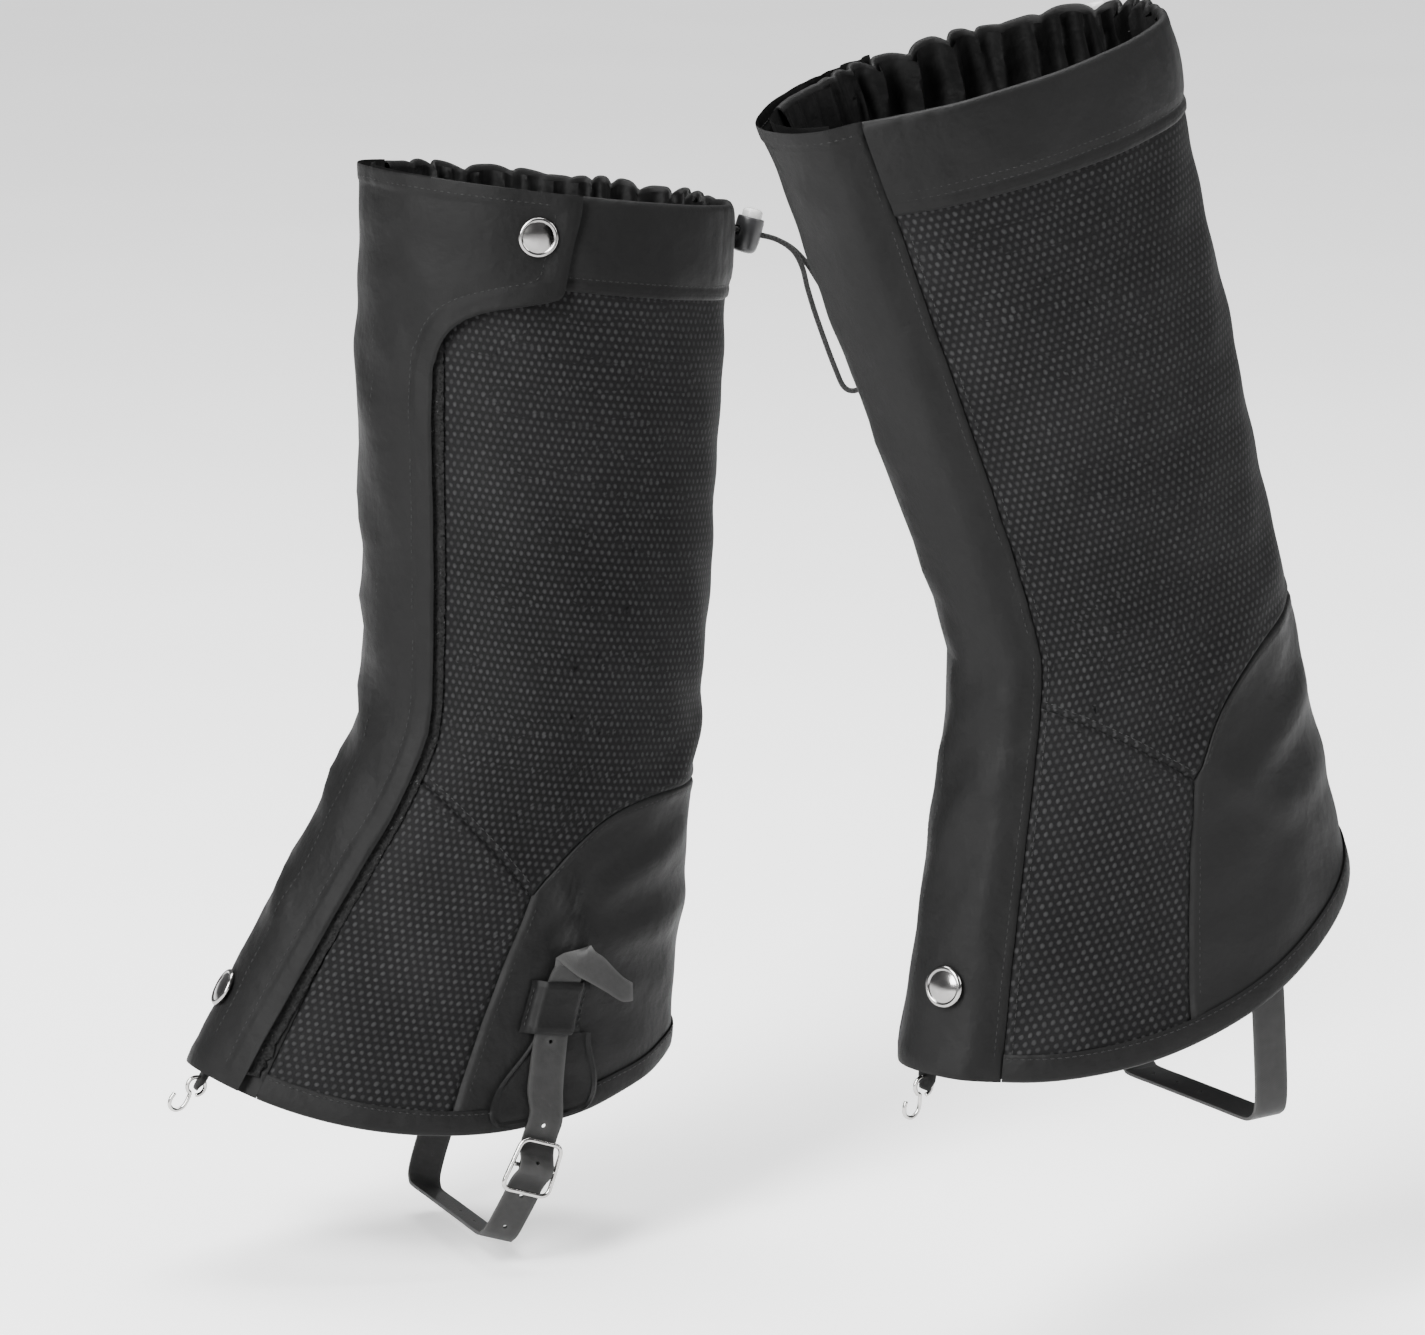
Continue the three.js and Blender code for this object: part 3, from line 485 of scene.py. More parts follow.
def plain_cloth_material(name, tone, sheen):
    """Fine plain weave, 0.55 mm between threads, with a soft gloss that changes over the cloth."""
    threads = 2 * pi / 0.00055
    material, tree = new_material(name)
    uv, across, along = cloth_map(tree)
    weave = times(tree, sine(tree, times(tree, across, threads)), sine(tree, times(tree, along, threads)))
    slubs = add(tree, "Mapping", {"Vector": uv, "Scale": (180.0, 1600.0, 1.0)})
    slub = noise(tree, slubs.outputs[0], 1.0, 2.0)
    patches = blotches(tree, 11)
    level = plus(tree, times(tree, patches, 0.45), times(tree, slub, 0.35))
    # The weave adds a little painted highlight and shade: the thread crossings are lighter than the hollows
    # between them.
    level = plus(tree, level, times(tree, plus(tree, weave, 1.0), 0.1))
    colour = ramp(tree, level, [(0.25, tone * 0.72), (0.75, tone * 1.3)])
    gloss_range = {"From Min": 0.3, "From Max": 0.7, "To Min": 0.5, "To Max": 0.66}
    gloss = add(tree, "MapRange", {"Value": patches, **gloss_range}).outputs[0]
    crumple = bump(tree, blotches(tree, 46, 4), 0.8, 0.003)
    fine = plus(tree, weave, times(tree, slub, 1.5))
    return finish(material, Sheen_Weight=sheen, Sheen_Roughness=0.45, Specular_IOR_Level=0.12,
                  Base_Color=wear_and_highlight_edges(tree, colour, (tone * 2.2,) * 3, 0.55), Roughness=gloss,
                  Normal=bump(tree, fine, 0.35, 0.00008, Normal=crumple))


plain_cloth = plain_cloth_material("plain_cloth", 0.0025, 0.006)
heel_cloth = plain_cloth_material("heel_cloth", 0.0035, 0.008)

for leg in LEGS:
    heel_us = spaced(HEEL_SEAM_U, 360 - HEEL_SEAM_U, 84, 1 / MM_PER_DEGREE)
    heel_rows = [spaced(hem_z(u) + 2, seam_z(u) - SEAM_GAP, 40) for u in heel_us]

    def heel(i, j):
        u, level = heel_us[i], heel_rows[i]
        share = (u - HEEL_SEAM_U) / (360 - 2 * HEEL_SEAM_U)
        side = min(u - HEEL_SEAM_U, 360 - HEEL_SEAM_U - u) * MM_PER_DEGREE
        off = seam_roll(min(level[-1] - level[j], side)) * 1.15
        return u + heel_drift(level[j]) * (1 - 2 * share), level[j], off

    bm = lay(leg, len(heel_us) - 1, len(heel_rows[0]) - 1, heel)
    piece = put(bm, leg, "heel_cloth", heel_cloth, "plain_cloth", replaces=["heel_panel"])

# ---------------------------------------------------------------- seam allowances
# Inside, each seam's spare cloth is pressed flat and taped over, 9 mm wide, so that no daylight shows
# through it. The tape follows the diagonal and heel seams, the heel's two drops, the edge that the
# underlap is sewn to and the flap's seam.
TAPE = {"half": 4.5, "off": -1.15, "thickness": 0.5}


def tape_along(leg, name, line):
    """A flat tape behind a seam; line is its (u, z) points."""
    spots = [Vector(point) for point in line]

    def tape(i, j):
        before, after = spots[max(j - 1, 0)], spots[min(j + 1, len(spots) - 1)]
        along = Vector(((after.x - before.x) * MM_PER_DEGREE, after.y - before.y)).normalized()
        reach = (1 - i / 3) * TAPE["half"]
        u = spots[j].x + along.y * -reach / MM_PER_DEGREE
        return u, spots[j].y + along.x * reach, TAPE["off"]

    bm = lay(leg, 6, len(spots) - 1, tape, TAPE["thickness"])
    put(bm, leg, name, plain_cloth, "plain_cloth")


for leg in LEGS:
    top = [(u, seam_z(u)) for u in [lerp(36, 324, k / 160) for k in range(161)]]
    tape_along(leg, "seam_tape_top", top)
    down = [lerp(163, 66, k / 30) for k in range(31)]
    tape_along(leg, "seam_tape_outer", [(HEEL_SEAM_U + heel_drift(z), z) for z in down])
    tape_along(leg, "seam_tape_inner", [(360 - HEEL_SEAM_U - heel_drift(z), z) for z in down])
    tape_along(leg, "seam_tape_edge", [(OUTER_EDGE_U, lerp(66, 398, k / 110)) for k in range(111)])
    tape_along(leg, "seam_tape_flap", [(324, lerp(64, 456, k / 120)) for k in range(121)])

# ---------------------------------------------------------------- stitching
# Black bonded thread, about eight stitches to the inch, laid in one or two rows beside each seam.
# Each stitch is a small rounded grain, and the rows of one area are one piece.
STITCH = {"pitch": 3.0, "half_length": 1.1, "half_width": 0.26, "half_height": 0.2}


def smooth_path(points, steps):
    """Closely spaced points on a smooth line through given ones."""
    spots = [Vector(point) for point in points]
    ends = [2 * spots[0] - spots[1], *spots, 2 * spots[-1] - spots[-2]]
    line = []
    for a, b, c, d in zip(ends, ends[1:], ends[2:], ends[3:]):
        for k in range(steps):
            t = k / steps
            bend = (2 * a - 5 * b + 4 * c - d) * t ** 2 + (3 * b - 3 * c + d - a) * t ** 3
            line.append(0.5 * (2 * b + (c - a) * t + bend))
    return [*line, spots[-1]]


def sew(leg, name, rows, material, **fixing):
    """Rows of stitches; each row is a list of (u, z) with the height of the cloth they lie on."""
    bm = bmesh.new()
    for points, off in rows:
        walked = STITCH["pitch"] / 2
        track = []
        for u, z in smooth_path(points, 14):
            height = off(u, z) if callable(off) else off
            track.append(seat(leg, u, z, height))
        for here, there in zip(track, track[1:]):
            a, b = here.to_translation(), there.to_translation()
            step = (b - a).length
            if step < 1e-6:
                continue
            while walked < step:
                along = (b - a) / step
                out = Vector(here.col[2][:3])
                across = out.cross(along).normalized()
                turn = Matrix((along, across, along.cross(across))).transposed().to_4x4()
                size = (STITCH["half_length"], STITCH["half_width"], STITCH["half_height"], 1)
                spot = Matrix.Translation(a + along * walked) @ turn @ Matrix.Diagonal(size)
                bmesh.ops.create_icosphere(bm, subdivisions=1, radius=1, matrix=spot)
                walked += STITCH["pitch"]
            walked -= step
    return put(bm, leg, name, material, "plain_cloth", crease=180, **fixing)


def thread_material():
    """Bonded thread with a twist: a faint slant of painted highlight and shade along each stitch, following
    the twist.
    """
    material, tree = new_material("thread")
    wave = {"Vector": object_spot(tree), "Scale": 900.0, "Distortion": 1.5}
    twist = add(tree, "TexWave", wave, bands_direction="DIAGONAL").outputs["Fac"]
    return finish(material, Roughness=0.55, Specular_IOR_Level=0.2,
                  Base_Color=ramp(tree, twist, [(0.1, 0.003), (0.9, 0.015)]),
                  Normal=bump(tree, twist, 0.4, 0.0001))


thread = thread_material()


def between(low, high, count):
    return [lerp(low, high, k / count) for k in range(count + 1)]


for leg in LEGS:
    heel_top = [(u, seam_z(u) - 3.2) for u in between(HEEL_SEAM_U + 3, 357 - HEEL_SEAM_U, 30)]
    diagonal = [(u, seam_z(u) + 3.0) for u in between(37, HEEL_SEAM_U - 1, 10)]
    drop = [(HEEL_SEAM_U + 2.4 + heel_drift(z), z) for z in between(75, 156, 8)]
    inner_diagonal = [(360 - u, z) for u, z in diagonal]
    inner_drop = [(360 - u, z) for u, z in drop]
    inner_front = [(RING_END_U - 2.6, z) for z in between(72, 418, 20)]
    rows = [(row, 0.3) for row in (heel_top, diagonal, drop, inner_diagonal, inner_drop, inner_front)]
    sew(leg, "panel_stitches", rows, thread)

# ---------------------------------------------------------------- collar and its channel
# A band of plain cloth, doubled over the rim, that makes the channel the drawcord runs in. The cord
# gathers its far side into narrow pleats. A row of stitches closes it at the lower edge.
CHANNEL_OFF = 1.6
COLLAR_PROFILE = [(-4, 0.5), (-3.4, 1.15), (-2, 1.35), (-0.4, 1.1), (0.6, 0.95), (1.8, 1.2), (4, 1.95),
                  (8, 2.55), (13, 2.85), (18, 2.9), (23, 2.8), (27, 2.65), (30, 2.55), (32, 2.5),
                  (33.6, 2.3), (34.9, 1.6), (35.5, 0.5), (35.3, -0.7), (34.4, -1.5), (33, -1.8), (31, -1.9)]
COLLAR_COLUMNS = 300


def rim_rise(leg, u, z):
    """The gathered rim is a ragged line of small peaks."""
    peaks = 1.7 * pleat(leg, u, z) + 0.6 * sin(radians(11 * u))
    return gathering(leg, u) * smoothstep(z, 440, 459) * peaks


for leg in LEGS:
    def collar(i, j):
        u = lerp(OUTER_EDGE_U - 1, RING_END_U, i / COLLAR_COLUMNS)
        rise, off = COLLAR_PROFILE[j]
        z = COLLAR_Z + rise
        return u, z + rim_rise(leg, u, z), off

    bm = lay(leg, COLLAR_COLUMNS, len(COLLAR_PROFILE) - 1, collar, 0.8)
    piece = put(bm, leg, "collar_cloth", plain_cloth, "plain_cloth", replaces=["collar"], crease=80)
    rows = []
    for rise, off in ((1.1, 1.15), (4.6, 2.05)) if leg["mirrored"] else ((1.1, 1.15),):
        rows.append(([(u, COLLAR_Z + rise) for u in between(OUTER_EDGE_U + 1, RING_END_U - 1, 60)], off))
    sew(leg, "collar_stitches", rows, thread)

# ---------------------------------------------------------------- collar lining
# A thin black lining inside the collar, turned under the rim. The drawcord bunches it into sharp
# folds that point down, deeper than the collar's own gathers.
LINING_ROWS = 24

for leg in LEGS:
    def lining(i, j):
        u = lerp(OUTER_EDGE_U - 1, RING_END_U, i / COLLAR_COLUMNS)
        z = lerp(400, 457, j / LINING_ROWS)
        a = radians(u)
        sharp = abs(sin(0.5 * GATHERS * a + 1.2 * sin(4 * a + leg["seed"]) + 0.02 * (457 - z)))
        bunch = smoothstep(z, 400, 450) * (0.35 + gathering(leg, u)) * (1 - sharp) ** 1.5
        off = lerp(-1.2, -1.9, smoothstep(z, 400, 430)) - 3.2 * bunch
        return u, z + rim_rise(leg, u, z) * smoothstep(z, 440, 457), off

    bm = lay(leg, COLLAR_COLUMNS, LINING_ROWS, lining, 0.5)
    piece = put(bm, leg, "lining_cloth", plain_cloth, "plain_cloth", replaces=["collar_lining"], crease=80)

# ---------------------------------------------------------------- hem binding
# A strip of the plain cloth folded round the raw lower edge of the panels and sewn through all
# layers, 10 mm above the edge.
BINDING_PROFILE = [(10, 0.62), (9.5, 0.95), (8.6, 0.8), (7.4, 0.98), (4.5, 1.05), (1.6, 0.95), (0.3, 0.5),
                   (-0.4, -0.4), (0, -1.2), (1.6, -1.75), (5, -1.8), (10, -1.8)]
BINDING_COLUMNS = 150

for leg in LEGS:
    def binding(i, j):
        u = lerp(OUTER_EDGE_U, RING_END_U, i / BINDING_COLUMNS)
        rise, off = BINDING_PROFILE[j]
        return u, hem_z(u) + rise, off

    bm = lay(leg, BINDING_COLUMNS, len(BINDING_PROFILE) - 1, binding, 0.5)
    put(bm, leg, "hem_tape", plain_cloth, "edge_tape", replaces=["hem_binding"], crease=80)
    line = [(u, hem_z(u) + 8.3) for u in between(OUTER_EDGE_U + 1, RING_END_U - 1, 40)]
    sew(leg, "hem_stitches", [(line, 0.9)], thread)

# ---------------------------------------------------------------- underlap and touch tape
# A plain strip under the front opening, with a band of loop tape on it. The matching hook tape is
# sewn inside the flap. The fuzzy edge of the loop tape shows beside the flap's free edge as a dark band,
# which is partly the tape and partly painted shade for the gap beside the flap.
UNDERLAP_U = -24
STRIP = {"low": 81, "top": 400, "start": 7, "loop_off": 1.9, "hook_off": 3.9, "thickness": 1.5}
FLAP_EDGE = [(29, 69), (31, 110), (34, 160), (37, 205), (37.2, 300), (37, 372), (38.4, 385), (42, 395.5),
             (48, 403), (57, 408.5), (68, 412.5), (76, 415.5), (79.2, 418.5), (80.3, 425), (82.2, 441),
             (84, 452), (84.6, 460)]
# How far the loop tape's threads stray at its foot and above it, in degrees, and where that changes
FRAY = {"foot": 1.3, "above": 0.2, "from_z": 78, "to_z": 92}


def flap_edge_u(z):
    """The angle of the flap's free edge below its tab."""
    for (u0, z0), (u1, z1) in zip(FLAP_EDGE, FLAP_EDGE[1:]):
        if z <= z1:
            return lerp(u0, u1, max(z - z0, 0) / (z1 - z0))
    return FLAP_EDGE[-1][0]


def touch_tape_material():
    """Loop tape: a pile of fine fibres, rough and deep black with a few pale fibre ends."""
    material, tree = new_material("touch_tape")
    spot = object_spot(tree)
    tufts = add(tree, "TexVoronoi", {"Vector": spot, "Scale": 700.0}).outputs["Distance"]
    pile = plus(tree, times(tree, noise(tree, spot, 1500.0, 4.0), 0.6), times(tree, tufts, 0.4))
    dark = ramp(tree, pile, [(0.3, 0.002), (0.8, 0.012)])
    pale = ramp(tree, noise(tree, spot, 420.0, 5.0, Roughness=0.8), [(0.63, 0.0), (0.7, 1.0)])
    return finish(material, Roughness=0.95, Sheen_Weight=0.02, Sheen_Roughness=0.6, Specular_IOR_Level=0.1,
                  Base_Color=mix(tree, times(tree, pale, 0.3), dark, (0.3, 0.3, 0.3, 1)),
                  Normal=bump(tree, pile, 0.9, 0.0008))


touch_tape = touch_tape_material()
# On the real gaiter the flap turns about its seam and its top peels open first; these are its two bodies and
# two points on that seam, which put unpacks but does not use
PEEL = ("shells", "flap", (-100, 29, RIM_Z), (-100, -26.8, 468.4))

for leg in LEGS:
    def underlap(i, j):
        u = lerp(UNDERLAP_U, OUTER_EDGE_U - SEAM_GAP, i / 30)
        return u, lerp(hem_z(u), RIM_Z - 0.5, j / 90), 0

    piece = put(lay(leg, 30, 90, underlap), leg, "underlap_cloth", plain_cloth, "plain_cloth",
                replaces=["underlap_panel"])
    fuzz = random.Random(7)

    def loop_tape(i, j):
        z = lerp(STRIP["low"] - 8, 408, j / 150)
        frayed = lerp(FRAY["foot"], FRAY["above"], smoothstep(z, FRAY["from_z"], FRAY["to_z"]))
        # The tape reaches 3.3 degrees past the flap's edge: the band that shows is partly the tape's edge
        # and partly painted shade in the gap.
        reach = flap_edge_u(min(z, 372)) + 3.3 + fuzz.uniform(-frayed, frayed)
        share = i / 14
        raised = fuzz.uniform(-0.3, 0.35) if i > 9 else 0
        off = STRIP["loop_off"] - 0.5 * max(share - 0.86, 0) / 0.14 + raised
        return lerp(STRIP["start"], reach, share), z, off

    put(lay(leg, 14, 150, loop_tape, STRIP["thickness"]), leg, "loop_tape", touch_tape, "touch_tape",
        replaces=["loop_strip"], crease=180)

    def hook_tape(i, j):
        z = lerp(STRIP["low"], STRIP["top"], j / 70)
        return lerp(STRIP["start"], min(flap_edge_u(z) - 3, 33), i / 8), z, STRIP["hook_off"]

    put(lay(leg, 8, 70, hook_tape, 1.3), leg, "hook_tape", touch_tape, "touch_tape", replaces=["hook_strip"],
        blended=PEEL)

# ---------------------------------------------------------------- front flap
# A doubled plain flap sewn to the inner panels all the way up. It closes over the touch tape and
# ends at the top in a rounded tab with the upper snap. Its edges are hemmed and stitched.
FLAP_OFF = 4.4
FLAP_SEAM_U = -36
FLAP_COLUMNS = 64
TAB_FOOT_Z = 372


def flap_base_off(u):
    return FLAP_OFF * smoothstep(u, FLAP_SEAM_U, FLAP_SEAM_U + 14) + CLOTH


def flap_edge_line():
    """The free edge from the hem to the rim, with the share of its length above the tab's foot."""
    line = smooth_path(FLAP_EDGE, 8)
    lengths = [0.0]
    for here, there in zip(line, line[1:]):
        step = hypot((there.x - here.x) * MM_PER_DEGREE, there.y - here.y)
        lengths.append(lengths[-1] + (step if there.y > TAB_FOOT_Z else 0))
    return [(point.x, point.y, length / lengths[-1]) for point, length in zip(line, lengths)]


flap_line = flap_edge_line()

for leg in LEGS:
    edge_tree = KDTree(len(flap_line))
    for k, (u, z, share) in enumerate(flap_line):
        edge_tree.insert(shell(leg, u, z), k)
    edge_tree.balance()

    def flap_off(u, z):
        """Height of the flap's outer face: hemmed edges are thicker, and the stitch line pulls them in."""
        gap = min(edge_tree.find(shell(leg, u, z))[2], (RIM_Z + 1 - z) * 1.0 + 0.5, z - hem_z(u) + 0.5)
        hem = 0.55 * (1 - smoothstep(gap, 8.2, 10.5)) - 0.5 * exp(-((gap - 8.6) / 1.0) ** 2)
        hem -= 0.7 * exp(-(gap / 0.8) ** 2)
        tab = smoothstep(u, 44, 56) * smoothstep(z, 405, 416)
        pleats = tab * 0.55 * sin(radians(16 * u) + 0.05 * z) * smoothstep(z, 436, 456)
        seam = -0.8 * exp(-((u - FLAP_SEAM_U) * MM_PER_DEGREE / 0.9) ** 2)
        return flap_base_off(u) + hem + pleats + seam

    def flap(i, j):
        edge_u, edge_z, above = flap_line[j]
        s = i / FLAP_COLUMNS
        if s > 0.5:
            s = 1 - (1 - s) ** 1.35 * 0.5 ** -0.35
        left_z = edge_z if edge_z < TAB_FOOT_Z else lerp(TAB_FOOT_Z, RIM_Z, above)
        u = lerp(FLAP_SEAM_U, edge_u, s)
        z = lerp(left_z, edge_z, s ** 1.6)
        z += (hem_z(u) - 69) * (1 - smoothstep(z, 69, 130))
        return u, z, flap_off(u, z)

    bm = lay(leg, FLAP_COLUMNS, len(flap_line) - 1, flap)
    piece = put(bm, leg, "flap_cloth", plain_cloth, "plain_cloth", replaces=["front_flap"], blended=PEEL)
    inner_row = [(20, 74), (21.5, 110), (24.5, 160), (28, 205), (28.2, 300), (28.2, 376), (31, 391),
                 (36, 402), (44, 410), (56, 416.5), (66, 420.5), (71.5, 424), (73.4, 432), (75.3, 444),
                 (76.5, 455)]
    top_row = [(u, 455) for u in between(-33, 75, 10)]
    foot_row = [(u, hem_z(u) + 8.4) for u in between(-34, 22, 6)]
    seam_row = [(-33.4, z) for z in between(72, 455, 16)]
    tape_row = [(8.5, z) for z in between(84, 398, 12)]
    rows = [(row, flap_off) for row in (inner_row, top_row, foot_row, seam_row, tape_row)]
    sew(leg, "flap_stitches", rows, thread, blended=PEEL)

# ---------------------------------------------------------------- snap fasteners
# Two nickel press caps on each flap, domed with a rolled bead, and their studs on the cloth below.
# Each is clinched through the cloth with a small post.
TOP_SNAP_U = 71
# Each snap's height, how far its stud's foot stands off the leg, and how high the stud is
SNAPS = {"top": (441, CHANNEL_OFF + CLOTH, 0.7), "bottom": (101, 0, 3.2)}
CAP_PROFILE = [(0, -1.9), (4.5, -1.9), (4.5, -1.3), (1.3, -1.3), (1.3, 0.15), (7.6, 0.15), (8.2, 0.35),
               (8.5, 0.85), (8.5, 1.35), (8.25, 1.85), (7.8, 2.2), (7.3, 2.32), (6.9, 2.2), (6.65, 1.95),
               (6.5, 1.86), (6.2, 1.95), (5.2, 2.3), (3.8, 2.62), (2.2, 2.82), (0, 2.9)]
STUD_PROFILE = [(0, -2.1), (3.5, -2.1), (3.5, -1.5), (1.3, -1.5), (1.3, 0.3), (4.5, 0.3), (4.6, 0.5),
                (4.3, 0.7), (2.3, 0.75)]


def turned(profile, segments=48):
    """A piece turned about z. Its profile is a line of (radius, height) that ends on the axis or closes."""
    bm = bmesh.new()
    verts = [bm.verts.new((radius, 0, height)) for radius, height in profile]
    edges = [bm.edges.new(pair) for pair in zip(verts, verts[1:])]
    bmesh.ops.spin(bm, geom=verts + edges, cent=(0, 0, 0), axis=(0, 0, 1), angle=2 * pi, steps=segments,
                   use_merge=True)
    bmesh.ops.remove_doubles(bm, verts=bm.verts, dist=1e-4)
    bmesh.ops.recalc_face_normals(bm, faces=bm.faces)
    return bm


def metal_material(name, tone, roughness, scratch):
    """Plated metal: fine scratches, and a gloss and tone that change a little from place to place."""
    material, tree = new_material(name)
    spot = object_spot(tree)
    film = noise(tree, spot, 160.0, 4.0)
    lines = {"Vector": spot, "Scale": (300.0, 300.0, 3000.0), "Rotation": (0.4, 0.9, 0.2)}
    scratches = noise(tree, add(tree, "Mapping", lines).outputs[0], 1.0, 3.0)
    colour = ramp(tree, film, [(0.3, tuple(0.72 * c for c in tone)), (0.7, tone)])
    # The near-white edge tone is a painted highlight on the rims and beads of the metal parts.
    return finish(material, Metallic=1.0, Base_Color=wear_and_highlight_edges(tree, colour, (0.85, 0.84, 0.82), 0.4),
                  Roughness=plus(tree, times(tree, film, 0.12), roughness),
                  Normal=bump(tree, scratches, scratch, 0.00003))


nickel = metal_material("nickel", (0.42, 0.41, 0.4), 0.14, 0.2)
# The caps get a darker copy of the nickel: the dark reflection in their domes is painted into their colour.
cap_nickel_painted_reflection = metal_material("cap_nickel_painted_reflection", (0.25, 0.245, 0.24), 0.1, 0.2)
steel = metal_material("steel", (0.34, 0.34, 0.33), 0.26, 0.4)

for leg in LEGS:
    for which, (z, base, stud_top) in SNAPS.items():
        u = TOP_SNAP_U if which == "top" else leg["lower_snap_u"]
        bm = turned(CAP_PROFILE)
        bmesh.ops.transform(bm, matrix=seat(leg, u, z, FLAP_OFF + CLOTH + 0.15), verts=bm.verts)
        put(bm, leg, f"{which}_cap", cap_nickel_painted_reflection, "nickel", replaces=[f"{which}_snap_cap"], crease=35,
            blended=PEEL)
        post = [(2.1, 1.2), (2.1, stud_top - 0.4), (1.7, stud_top)] if stud_top > 1 else []
        bm = turned([*STUD_PROFILE, *post, (0, max(stud_top, 0.8))], 32)
        bmesh.ops.transform(bm, matrix=seat(leg, u, z, base), verts=bm.verts)
        put(bm, leg, f"{which}_stud", steel, "steel", replaces=[f"{which}_snap_stud"], crease=35)

# ---------------------------------------------------------------- drawcord in its channel
# A round elastic cord 2.4 mm thick, braided black, that runs round inside the collar. Its two ends
# come out together at the back through a small eyelet.
CORD = {"diameter": 2.4, "z": 448, "off": -0.1, "run_end_u": 44}


def tube(points, radius, sides=10, closed=False, across=(0.3, 0.2, 1)):
    """A round cord or wire along a line of points. Its UV map is in metres, round and along it."""
    count = len(points)
    bm, corners = grid(sides, count if closed else count - 1)
    side_way = Vector(across)
    rings = []
    for k, point in enumerate(points):
        before = points[k - 1] if closed or k else point
        after = points[(k + 1) % count] if closed or k < count - 1 else point
        along = (after - before).normalized()
        side_way = (side_way - along * side_way.dot(along)).normalized()
        rings.append((point, side_way.copy(), along.cross(side_way)))
    lengths = [0.0]
    for here, there in zip(points, [*points[1:], points[0]]):
        lengths.append(lengths[-1] + (there - here).length)
    flat = {}
    for vert, i, j in corners:
        centre, first, second = rings[j % count]
        turn = 2 * pi * (i % sides) / sides
        vert.co = centre + (first * cos(turn) + second * sin(turn)) * radius
        flat[vert.index] = (2 * pi * radius * i / sides * 0.001, lengths[j] * 0.001)
    unwrap(bm, flat)
    bmesh.ops.remove_doubles(bm, verts=bm.verts, dist=1e-4)
    bmesh.ops.holes_fill(bm, edges=[edge for edge in bm.edges if edge.is_boundary], sides=sides + 1)
    bmesh.ops.recalc_face_normals(bm, faces=bm.faces)
    return bm


def cord_material():
    """Braided sheath: two sets of strands crossing at a slant, each about 0.6 mm wide."""
    material, tree = new_material("cord")
    uv, across, length = cloth_map(tree)
    around = times(tree, across, 4 / 0.00754 * 2 * pi)
    along = times(tree, length, 2 * pi / 0.0019)
    one, other = sine(tree, plus(tree, around, along)), sine(tree, less(tree, around, along))
    braid = maths(tree, "MAXIMUM", one, other)
    # The strands' crests are painted lighter and the grooves between them darker: painted highlight and
    # shade that follow the braid.
    tone = plus(tree, times(tree, braid, 0.4), blotches(tree, 300))
    return finish(material, Roughness=0.6, Sheen_Weight=0.03, Specular_IOR_Level=0.2,
                  Base_Color=ramp(tree, tone, [(0.3, 0.003), (0.95, 0.016)]),
                  Normal=bump(tree, braid, 0.6, 0.00025))


cord_finish = cord_material()

for leg in LEGS:
    stations = between(CORD["run_end_u"], 360 - CORD["run_end_u"], 220)
    run = [on_cloth(leg, u, CORD["z"], CORD["off"]) for u in stations]
    put(tube(run, CORD["diameter"] / 2, 8), leg, "channel_cord", cord_finish, "cord",
        replaces=["drawcord_run"], crease=180)

# ---------------------------------------------------------------- eyelet
# A plated brass ring pressed into the collar, where the cord's two ends leave the channel.
EYELET = [(3.2, -0.6), (3.9, 0.3), (5.2, 0.35), (5.5, 0.75), (5.1, 1.1), (4.3, 1.3), (3.6, 1.1), (3.2, 0.5),
          (3.05, 0), (3.2, -0.6)]

for leg in LEGS:
    bm = turned(EYELET, 36)
    bmesh.ops.transform(bm, matrix=seat(leg, leg["cord_u"], CORD["z"], CHANNEL_OFF + CLOTH), verts=bm.verts)
    put(bm, leg, "eyelet", steel, "steel", replaces=["cord_eyelet"], crease=180)

# ---------------------------------------------------------------- cord lock
# A moulded black barrel with a grey push button in its open end, and a small steel spring below the
# button. The spring presses the button's slot against the cord, so the lock holds where it is set.
LOCK_AT = 10.5
BARREL_PROFILE = [(0, -9), (2.6, -9), (3.9, -8.7), (4.9, -7.9), (5.5, -6.6), (5.9, -3.5), (6, 0), (6, 4.6),
                  (5.85, 5.4), (5.85, 5.9), (5.6, 6.4), (5.2, 6.5), (4.8, 6.3), (4.7, 5.8), (4.7, -7.5),
                  (0, -7.5)]
BUTTON_PROFILE = [(0, -2.8), (4.3, -2.8), (4.4, -2.6), (4.4, 8.6), (4.3, 9.2), (3.9, 9.8), (3.2, 10.2),
                  (2, 10.42), (0, 10.5)]
SPRING = {"radius": 3, "turns": 2, "foot": -7, "pitch": 0.55, "wire": 0.25}


def plastic_material(name, tone, roughness):
    """Moulded plastic with a fine spark grain, and lighter edges: partly wear, partly a painted highlight.
    """
    material, tree = new_material(name)
    haze = blotches(tree, 220)
    colour = ramp(tree, haze, [(0.3, tuple(0.8 * c for c in tone)), (0.7, tuple(1.15 * c for c in tone))])
    edge_tone = tuple(min(1.7 * c + 0.01, 1) for c in tone)
    return finish(material, Base_Color=wear_and_highlight_edges(tree, colour, edge_tone, 0.6),
                  Roughness=plus(tree, times(tree, haze, 0.2), roughness - 0.1),
                  Normal=bump(tree, blotches(tree, 2400, 2), 0.3, 0.00006))


lock_plastic = plastic_material("lock_body", (0.012, 0.012, 0.013), 0.42)
button_plastic = plastic_material("lock_button", (0.36, 0.36, 0.355), 0.34)


